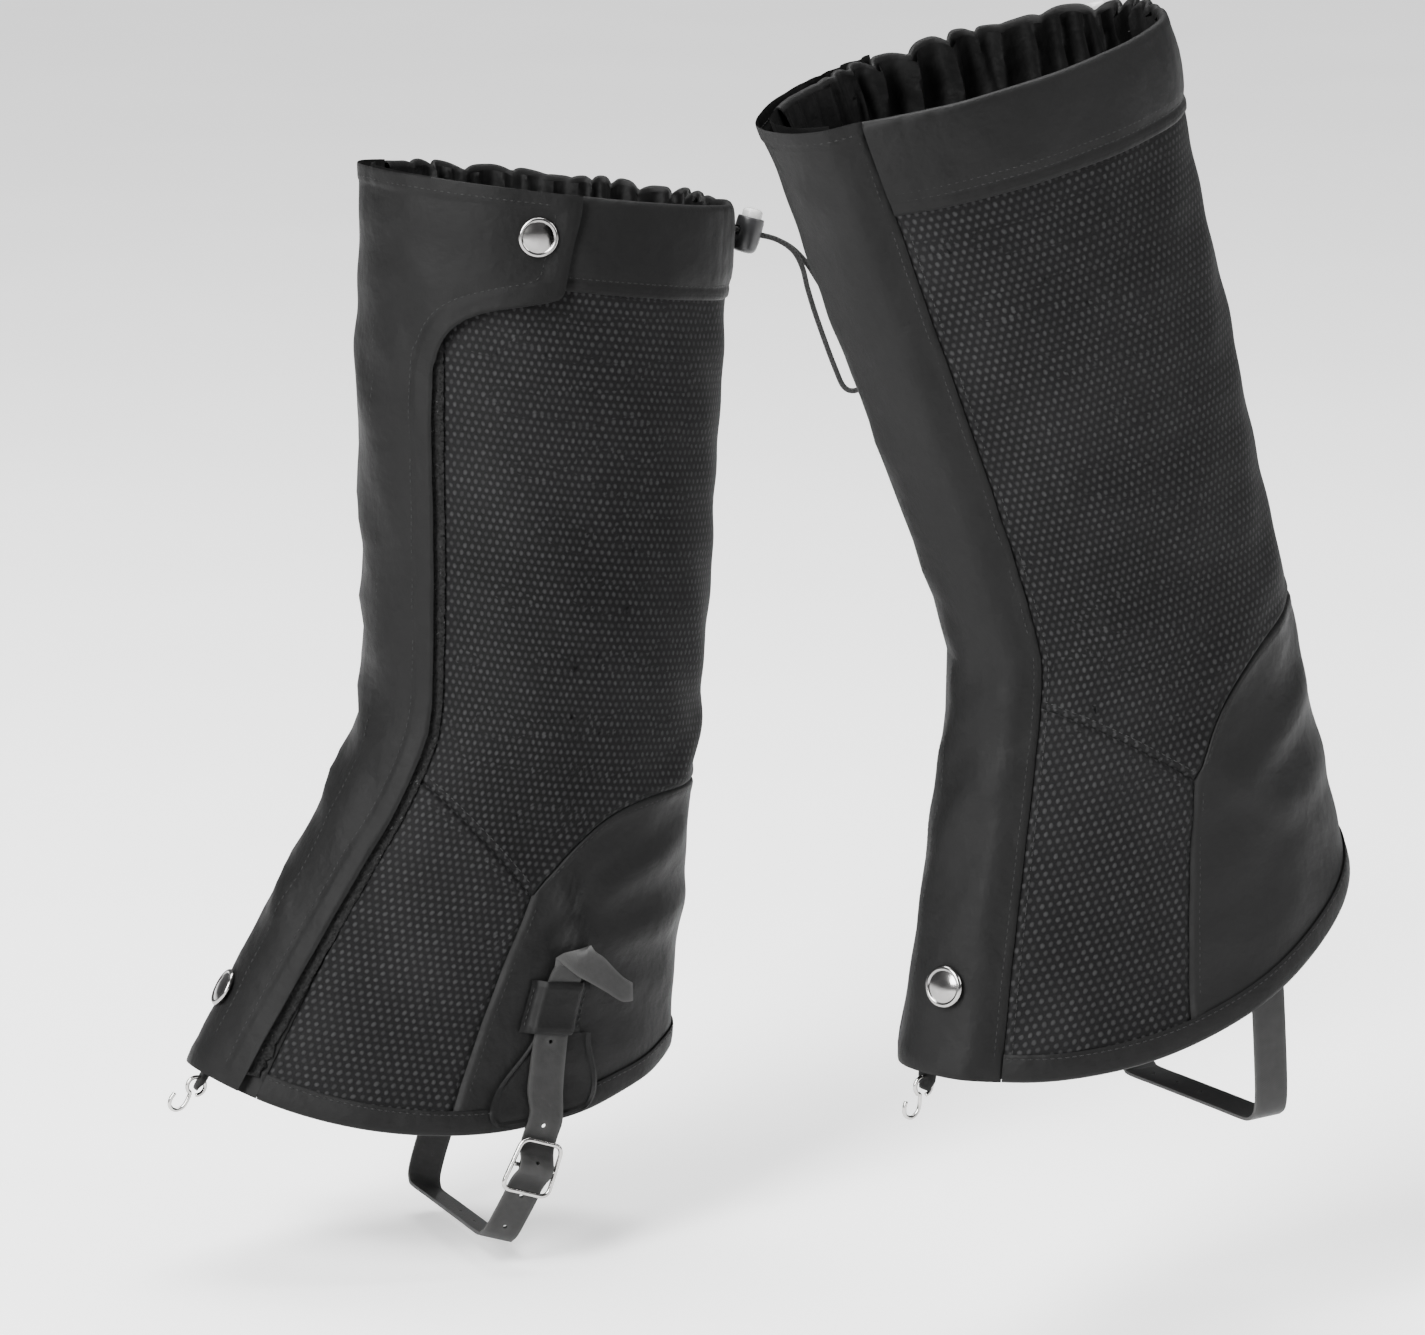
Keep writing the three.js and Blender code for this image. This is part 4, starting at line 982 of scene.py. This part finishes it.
def slot_cut(bm, low, high, width=6.6, length=30):
    """Cuts the way for the cord's two strands straight through a turned piece."""
    whole = as_object(bm, "whole")
    cutter = bmesh.new()
    size = Matrix.Diagonal((length, width, high - low, 1))
    bmesh.ops.create_cube(cutter, size=1, matrix=Matrix.Translation((0, 0, (low + high) / 2)) @ size)
    long_edges = [edge for edge in cutter.edges if abs(edge.verts[0].co.x - edge.verts[1].co.x) > 1]
    bmesh.ops.bevel(cutter, geom=long_edges, offset=1.3, offset_type="OFFSET", segments=4, profile=0.5,
                    affect="EDGES", material=-1)
    tool = as_object(cutter, "tool")
    cut = whole.modifiers.new("slot", "BOOLEAN")
    cut.object = tool
    cut.operation = "DIFFERENCE"
    cut.solver = "EXACT"
    ready = whole.evaluated_get(bpy.context.evaluated_depsgraph_get())
    bm = bmesh.new()
    bm.from_mesh(ready.to_mesh())
    for one in (whole, tool):
        bpy.data.objects.remove(one)
    return bm


def cord_frame(leg):
    """Frame at the cord's exit, in the upright drawing: x points straight out, z up. It is mirrored back
    on the mirrored gaiter, so that the lock and loop aren't mirrored themselves."""
    exit_seat = seat({**leg, "calm": 0}, leg["cord_u"], CORD["z"], 0)
    origin = shell(leg, leg["cord_u"], CORD["z"])
    out = Vector(exit_seat.col[2][:3])
    origin += out * CHANNEL_OFF
    return Matrix.Translation(origin) @ Matrix.Rotation(atan2(out.y, out.x), 4, "Z") @ leg["flip"]


for leg in LEGS:
    tilt = Matrix.Rotation(-radians(leg["cord_drop"][0]), 4, "Y")
    lock_place = cord_frame(leg) @ tilt @ Matrix.Translation((LOCK_AT, 0, 0))
    barrel = slot_cut(turned(BARREL_PROFILE, 40), -1.7, 1.7)
    button = slot_cut(turned(BUTTON_PROFILE, 40), -1.7, 4.2)
    coil = []
    for t in between(0, SPRING["turns"] * 2 * pi, 48):
        height = SPRING["foot"] + SPRING["pitch"] * t / (2 * pi)
        coil.append(Vector((SPRING["radius"] * cos(t), SPRING["radius"] * sin(t), height)))
    spring = tube(coil, SPRING["wire"], 6)
    for bm, name, material, slot, body, node in (
        (barrel, "cord_lock_barrel", lock_plastic, "lock_body", "cord_lock", "lock_barrel"),
        (button, "cord_lock_button", button_plastic, "lock_button", "lock_button", "lock_plunger"),
        (spring, "cord_lock_spring", steel, "steel", "cord_lock", "lock_spring"),
    ):
        bmesh.ops.transform(bm, matrix=lock_place, verts=bm.verts)
        if leg["mirrored"]:
            bmesh.ops.reverse_faces(bm, faces=bm.faces)
        put(bm, leg, name, material, slot, body=body, replaces=[node], crease=35)

# ---------------------------------------------------------------- drawcord loop
# The cord's free loop: 216 mm of the braided cord that leaves the lock as two strands, bends down
# under its own weight, opens to a drop shape and comes back beside itself.
LOOP = {"reach": 104, "straight": 22, "bend_radius": 25, "gap": 1.6, "half": 6.2, "length": 0.216}


def loop_route(leave, hang):
    """The loop's points, with x straight out of the eyelet and z up."""
    bend = LOOP["bend_radius"] * radians(leave - hang)
    half, reach = LOOP["half"], LOOP["reach"]

    def heading(s):
        return radians(lerp(leave, hang, min(max((s - LOOP["straight"]) / bend, 0), 1)))

    def middle(s):
        turns = [heading(s * (k + 0.5) / 100) for k in range(100)]
        return Vector((sum(cos(a) for a in turns), 0, sum(sin(a) for a in turns))) * s / 100

    def aside(s, sign):
        from_tip = reach - s
        spread = lerp(LOOP["gap"], half, smoothstep(s, LOOP["straight"], reach - half))
        if from_tip < half:
            spread = sqrt(half ** 2 - (half - from_tip) ** 2)
        twist = pi / 2 * smoothstep(s, LOOP["straight"], LOOP["straight"] + 40)
        across = Vector((-sin(heading(s)), 0, cos(heading(s)))) * sin(twist)
        return (across + Vector((0, cos(twist), 0))) * sign * spread

    stations = [0, 8, 16, 24, 33, 42, 52, 62, 72, 82, 91, reach - half, reach - 2.6, reach - 0.7]
    out = [middle(s) + aside(s, 1) for s in stations]
    back = [middle(s) + aside(s, -1) for s in reversed(stations)]
    return [*out, middle(reach), *back]


for leg in LEGS:
    place = cord_frame(leg)
    line = smooth_path([place @ point for point in loop_route(*leg["cord_drop"])], 7)
    piece = put(tube(line, CORD["diameter"] / 2, 12), leg, "cord_loop", cord_finish, "cord",
                body="drawcord", replaces=["drawcord_loop"], crease=180)

# ---------------------------------------------------------------- strap patch and keeper
# On the outer side a rounded patch of plain cloth, piped round its edge, backs the strap. Above it a
# keeper is sewn down at its two sides, and the strap's end passes up behind it.
PATCH = {"u": 108, "front": 15, "back": 13, "top_half": 8, "top_z": 103, "off": 2.0}
KEEPER = {"u": 104, "z": 114, "width": 29, "height": 22, "sewn_off": 1.6, "arch_off": 5.0}
STRAP_MM_PER_DEGREE = 1.7


def patch_half(t, widest):
    """Half the patch's width at a share t of its height, round at its foot."""
    body = lerp(widest, PATCH["top_half"], smoothstep(t, 0.25, 1.05))
    foot = sqrt(1 - (1 - min(t / 0.22, 1)) ** 2)
    return body * lerp(0.62, 1, foot)


for leg in LEGS:
    def patch(i, j):
        s, t = i / 36, j / 30
        half = patch_half(t, PATCH["front"] if s < 0.5 else PATCH["back"])
        u = PATCH["u"] + (2 * s - 1) * half
        rim = min(s, 1 - s) * 2 * half * STRAP_MM_PER_DEGREE
        edge = min(rim, t * 40)
        piping = 0.75 * exp(-((edge - 0.9) / 0.8) ** 2) - 0.45 * exp(-((edge - 2.6) / 0.7) ** 2)
        return u, lerp(hem_z(u) + 1.2, PATCH["top_z"], t), PATCH["off"] + piping

    bm = lay(leg, 36, 30, patch, 0.8)
    put(bm, leg, "strap_patch_cloth", plain_cloth, "plain_cloth", replaces=["strap_patch"])

    def keeper(i, j):
        w = lerp(-1, 1, i / 30) * KEEPER["width"] / 2
        arch = smoothstep(KEEPER["width"] / 2 - abs(w), 2.6, 6.2)
        t = j / 16
        edge = min(t, 1 - t) * KEEPER["height"]
        roll = -0.6 * exp(-(edge / 0.7) ** 2) + 0.3 * exp(-((edge - 1.8) / 1.1) ** 2)
        off = lerp(KEEPER["sewn_off"], KEEPER["arch_off"], arch) + roll
        return KEEPER["u"] + w / STRAP_MM_PER_DEGREE, KEEPER["z"] + (t - 0.5) * KEEPER["height"], off

    bm = lay(leg, 30, 16, keeper, 0.8)
    put(bm, leg, "strap_keeper_cloth", plain_cloth, "plain_cloth", replaces=["strap_keeper"])
    rows = []
    for side in (-1, 1):
        u = KEEPER["u"] + side * (KEEPER["width"] / 2 - 1.5) / STRAP_MM_PER_DEGREE
        rows.append(([(u, KEEPER["z"] + z) for z in (-9.5, 0, 9.5)], KEEPER["sewn_off"] + 0.1))
    sew(leg, "keeper_stitches", rows, thread)

# ---------------------------------------------------------------- strap
# One flat strap of coated webbing, punched with round holes. It is tacked inside the inner hem, goes
# under the boot, through the buckle and up behind the keeper, where its loose end folds to the back.
STRAP = {"half": 7.7, "thickness": 1.3, "hole_pitch": 18, "hole_radius": 1.0, "step": 1.925}
STIRRUP = Matrix.Translation((-6, 0, 62)) @ Matrix.Rotation(radians(10), 4, "Y")
# The loose end above the keeper, from its tip: both edges as (across, z, off), in millimetres
STRAP_END = [
    ((33.5, 118.5, 9.8), (30.5, 126.5, 11.2)), ((28, 118, 9.2), (26, 128.5, 10.6)),
    ((20, 121.5, 8.2), (19, 133, 9.4)), ((11, 125.5, 7.4), (12.5, 137.5, 8.2)),
    ((3, 129, 6.8), (7.5, 140, 7.0)), ((-2.5, 132, 6.2), (6.5, 141.4, 5.9)),
    ((-5.2, 132.6, 5.2), (6.9, 141, 4.9)), ((-6.8, 130.5, 4.4), (7.4, 138, 4.1)),
    ((-7.5, 127, 3.9), (7.7, 131, 3.7)), ((-7.7, 121, 3.5), (7.7, 121, 3.5)),
    ((-7.7, 112, 3.5), (7.7, 112, 3.5)), ((-7.7, 103, 3.6), (7.7, 103, 3.6)),
    ((-7.2, 94, 3.9), (8.2, 94, 3.9)), ((-6.1, 85, 4.1), (9.3, 85, 4.1)), ((-4.8, 77, 4.1), (10.6, 77, 4.1)),
]
# From the hem down through the buckle, under the boot and up inside, as (y, z) of the strap's own plane
STRAP_RUN = [(-59.6, 5.6), (-59.6, -1), (-59.6, -7.5), (-62.2, -11.5), (-65.6, -15), (-65.6, -19),
             (-62.2, -22.5), (-59.5, -26.5), (-58.1, -31), (-53.6, -41), (-49.6, -49), (-46, -52.5),
             (-42, -54), (-21, -54), (0, -54), (21, -54), (42, -54), (47, -52.5), (50.5, -49), (52, -40),
             (52, -20), (51.5, 0), (51, 8)]
STRAP_BEND = ("shells", "stirrup", (-5, -59, 74), (-8, -59, 50))
FIRST_HOLE = 36
HOLES = 11
# The rows between the keeper and the hem where one hole is left out
WHOLE_ROWS = range(46, 52)


def strap_material():
    """Coated webbing: faint ribs along it, a dull dark grey with scuffs and pale edges."""
    material, tree = new_material("strap")
    uv, across, along = cloth_map(tree)
    ribs = sine(tree, times(tree, across, 2 * pi / 0.0011))
    picks = sine(tree, times(tree, along, 2 * pi / 0.0008))
    scuffs = noise(tree, uv, 220.0, 5.0, Roughness=0.7)
    tones = [(0.3, (0.005, 0.005, 0.005)), (0.62, (0.01, 0.01, 0.0098)), (0.8, (0.024, 0.0236, 0.023))]
    height = plus(tree, times(tree, times(tree, ribs, picks), 0.5), scuffs)
    return finish(material, Roughness=0.55, Specular_IOR_Level=0.25,
                  Base_Color=wear_and_highlight_edges(tree, ramp(tree, scuffs, tones), (0.04, 0.04, 0.039), 0.5),
                  Normal=bump(tree, height, 0.3, 0.00015))


strap_finish = strap_material()

for leg in LEGS:
    lefts, rights = [], []
    for left, right in STRAP_END:
        for edges, (across, z, off) in ((lefts, left), (rights, right)):
            edges.append(on_cloth(leg, KEEPER["u"] + across / STRAP_MM_PER_DEGREE, z, off))
    for y, z in STRAP_RUN:
        lefts.append(STIRRUP @ Vector((-STRAP["half"], y, z)))
        rights.append(STIRRUP @ Vector((STRAP["half"], y, z)))
    lefts, rights = smooth_path(lefts, 8), smooth_path(rights, 8)
    reach = [0.0]
    for k in range(len(lefts) - 1):
        reach.append(reach[-1] + ((lefts[k + 1] + rights[k + 1]) - (lefts[k] + rights[k])).length / 2)
    columns, rows = 8, round(reach[-1] / STRAP["step"])
    hole_rows = {round((FIRST_HOLE + STRAP["hole_pitch"] * k) / STRAP["step"]) for k in range(HOLES)}
    hole_rows -= set(WHOLE_ROWS)

    def strap_spot(w, s):
        """The point w across the strap, from -1 to 1, and s along it from its tip."""
        k = max(k for k in range(len(reach) - 1) if reach[k] <= s or k == 0)
        t = (s - reach[k]) / (reach[k + 1] - reach[k])
        return lefts[k].lerp(lefts[k + 1], t).lerp(rights[k].lerp(rights[k + 1], t), (w + 1) / 2)

    bm, corners = grid(columns, rows)
    flat, centres = {}, []
    for vert, i, j in corners:
        w, s = (2 * i / columns - 1) * STRAP["half"], reach[-1] * j / rows
        for hole in hole_rows:
            di, dj = i - columns // 2, j - hole
            if max(abs(di), abs(dj)) == 1:
                w = STRAP["hole_radius"] * di / hypot(di, dj)
                s = reach[-1] * hole / rows + STRAP["hole_radius"] * dj / hypot(di, dj)
            if di == 0 and dj == 0:
                centres.append(vert)
        vert.co = strap_spot(w / STRAP["half"], min(max(s, 0.001), reach[-1] - 0.001))
        flat[vert.index] = (w * 0.001, s * 0.001)
    unwrap(bm, flat)
    bmesh.ops.delete(bm, geom=centres, context="VERTS")
    bmesh.ops.reverse_faces(bm, faces=bm.faces)
    bmesh.ops.solidify(bm, geom=bm.faces[:], thickness=STRAP["thickness"])
    put(bm, leg, "under_boot_strap", strap_finish, "strap", replaces=["stirrup_strap", "strap_tail"],
        blended=STRAP_BEND)

# ---------------------------------------------------------------- buckle and its tab
# A bent wire frame, narrower at its top, with a cross bar behind the strap. A small tab of tape goes
# round the bar and holds the buckle to the strap.
BUCKLE = {"y": -62, "z": -17, "wire": 1.05, "top": 9.4, "bottom": 11.0, "half_height": 11.4, "corner": 4.2,
          "skew": 0.08, "bar_half": 9.9, "bar": 0.95}
BUCKLE_TAB = [(-58, -5.6), (-58.6, -11), (-59.8, -17), (-60.5, -19.2), (-62, -19.9), (-63.4, -19),
              (-64, -17)]
BUCKLE_TAB_HALF = 6


def rounded_outline(corners, radius, steps=6):
    """A closed line of points round the corners, each turned with an arc."""
    line = []
    count = len(corners)
    for k in range(count):
        before, here, after = (Vector(corners[(k + d) % count]) for d in (-1, 0, 1))
        start = here + (before - here).normalized() * radius
        end = here + (after - here).normalized() * radius
        for n in range(steps + 1):
            t = n / steps
            line.append(start * (1 - t) ** 2 + here * 2 * t * (1 - t) + end * t ** 2)
    return line


for leg in LEGS:
    half = BUCKLE["half_height"]
    corners = []
    for side, end, z in ((-1, "bottom", -half), (1, "bottom", -half), (1, "top", half), (-1, "top", half)):
        corners.append((side * BUCKLE[end] + z * BUCKLE["skew"], BUCKLE["y"], z + BUCKLE["z"]))
    outline = [STIRRUP @ point for point in rounded_outline(corners, BUCKLE["corner"])]
    bm = tube(outline, BUCKLE["wire"], 14, closed=True, across=(0, 1, 0))
    put(bm, leg, "buckle_wire", nickel, "nickel", body="buckle", replaces=["buckle_frame"], crease=180)
    stations = between(-BUCKLE["bar_half"], BUCKLE["bar_half"], 12)
    bar = [STIRRUP @ Vector((x, BUCKLE["y"], BUCKLE["z"])) for x in stations]
    put(tube(bar, BUCKLE["bar"], 12), leg, "buckle_bar", nickel, "nickel", body="buckle", crease=60)
    tab_line = smooth_path(BUCKLE_TAB, 5)
    bm, corners = grid(6, len(tab_line) - 1)
    for vert, i, j in corners:
        vert.co = STIRRUP @ Vector((vert.co.x * BUCKLE_TAB_HALF, tab_line[j].x, tab_line[j].y))
    bmesh.ops.solidify(bm, geom=bm.faces[:], thickness=0.7)
    bmesh.ops.recalc_face_normals(bm, faces=bm.faces)
    put(bm, leg, "buckle_tape", plain_cloth, "edge_tape", body="stirrup", replaces=["buckle_tab"])

# ---------------------------------------------------------------- lace hook
# A bent steel hook that clips to the boot's laces. It hangs in a small tab of tape that is sewn
# inside the hem at the front.
LACE_TAB = {"z": 69, "half": 7, "above": 12, "below": 8, "off": -2.5}
HOOK = {"centre": -8.0, "radius": 4, "off": -2.95, "wire": 0.9}
HOOK_SHANK = [(-8, 0.6), (-11, 1.2), (-13.2, 3.6), (-12.4, 6.6), (-9.5, 7.6), (-6.5, 7.2)]

for leg in LEGS:
    def lace_tab(i, j):
        t = j / 20
        y = lerp(-LACE_TAB["below"], LACE_TAB["above"], t)
        narrow = 1 - 0.4 * (1 - smoothstep(y, -8, -3.5))
        mm = lerp(-LACE_TAB["half"], LACE_TAB["half"], i / 10) * narrow
        return mm / 0.87, LACE_TAB["z"] + y, LACE_TAB["off"]

    put(lay(leg, 10, 20, lace_tab, CLOTH), leg, "lace_hook_tape", plain_cloth, "edge_tape",
        replaces=["lace_hook_tab"])
    centre, radius = HOOK["centre"], HOOK["radius"]
    ring = [(0, centre + radius * sin(radians(d)), radius * cos(radians(d))) for d in between(245, -75, 16)]
    hook = ring + [(0, centre + y, z) for y, z in HOOK_SHANK]
    place = seat({**leg, "calm": 0}, 0, LACE_TAB["z"], HOOK["off"])
    wire = [place @ point for point in smooth_path(hook, 4)]
    put(tube(wire, HOOK["wire"], 12, across=(0, 1, 0)), leg, "lace_hook_wire", nickel, "steel",
        body="lace_hook", replaces=["lace_hook"], crease=180)

# ---------------------------------------------------------------- floor, light and camera
# A pale floor with a glow of its own, two soft boxes in front and one above, and a broad soft
# sun, under an even white sky.
CAMERA = {"target": (0.0936, 0, 0.2449), "azimuth": -22, "elevation": 11.3, "distance": 3.0, "lens": 174.3}
FLOOR = {"half": 40, "glow": 0.38}
# Each soft box: its place, what it points at, its two sides and its power
SOFT_BOXES = {
    "key": ((-2.0, -1.5, 1.6), (0.1, 0, 0.25), (0.9, 1.8), 230),
    "fill": ((2.3, -1.6, 1.6), (0.1, 0, 0.25), (0.9, 1.6), 50),
    "top": ((0.2, 0.5, 2.6), (0.1, 0, 0.3), (1.8, 1.4), 120),
}
SUN = {"power": 3.0, "width": 24, "from": (-0.9, -0.5, 1.3)}
SKY = {"colour": (0.98, 0.98, 1.0, 1), "power": 0.26}


def stand(name, data, at, away):
    """A lamp or camera at a place, with its back to one direction."""
    made = bpy.data.objects.new(name, data)
    made.location = at
    made.rotation_euler = away.to_track_quat("Z", "Y").to_euler()
    bpy.context.scene.collection.objects.link(made)
    return made


material, tree = new_material("floor")
finish(material, Roughness=0.9, Base_Color=ramp(tree, blotches(tree, 3), [(0.3, 0.88), (0.7, 0.92)]),
       Emission_Color=(1, 1, 1, 1), Emission_Strength=FLOOR["glow"])
bm = bmesh.new()
bmesh.ops.create_grid(bm, x_segments=2, y_segments=2, size=FLOOR["half"])
floor_piece = as_object(bm, "floor")
floor_piece.data.materials.append(material)

for name, (at, target, sides, power) in SOFT_BOXES.items():
    lamp = bpy.data.lights.new(name, "AREA")
    lamp.shape = "RECTANGLE"
    lamp.size, lamp.size_y = sides
    lamp.energy = power
    stand(name, lamp, at, Vector(at) - Vector(target))
sun = bpy.data.lights.new("day", "SUN")
sun.energy = SUN["power"]
sun.angle = radians(SUN["width"])
stand("day", sun, (0, 0, 0), Vector(SUN["from"]))
world = bpy.data.worlds.new("studio")
world.use_nodes = True
world.node_tree.nodes["Background"].inputs["Color"].default_value = SKY["colour"]
world.node_tree.nodes["Background"].inputs["Strength"].default_value = SKY["power"]
bpy.context.scene.world = world

azimuth, elevation = radians(CAMERA["azimuth"]), radians(CAMERA["elevation"])
toward = Vector((sin(azimuth) * cos(elevation), -cos(azimuth) * cos(elevation), sin(elevation)))
lens = bpy.data.cameras.new("camera")
lens.lens = CAMERA["lens"]
lens.sensor_width = 36
place = Vector(CAMERA["target"]) + toward * CAMERA["distance"]
bpy.context.scene.camera = stand("camera", lens, place, toward)
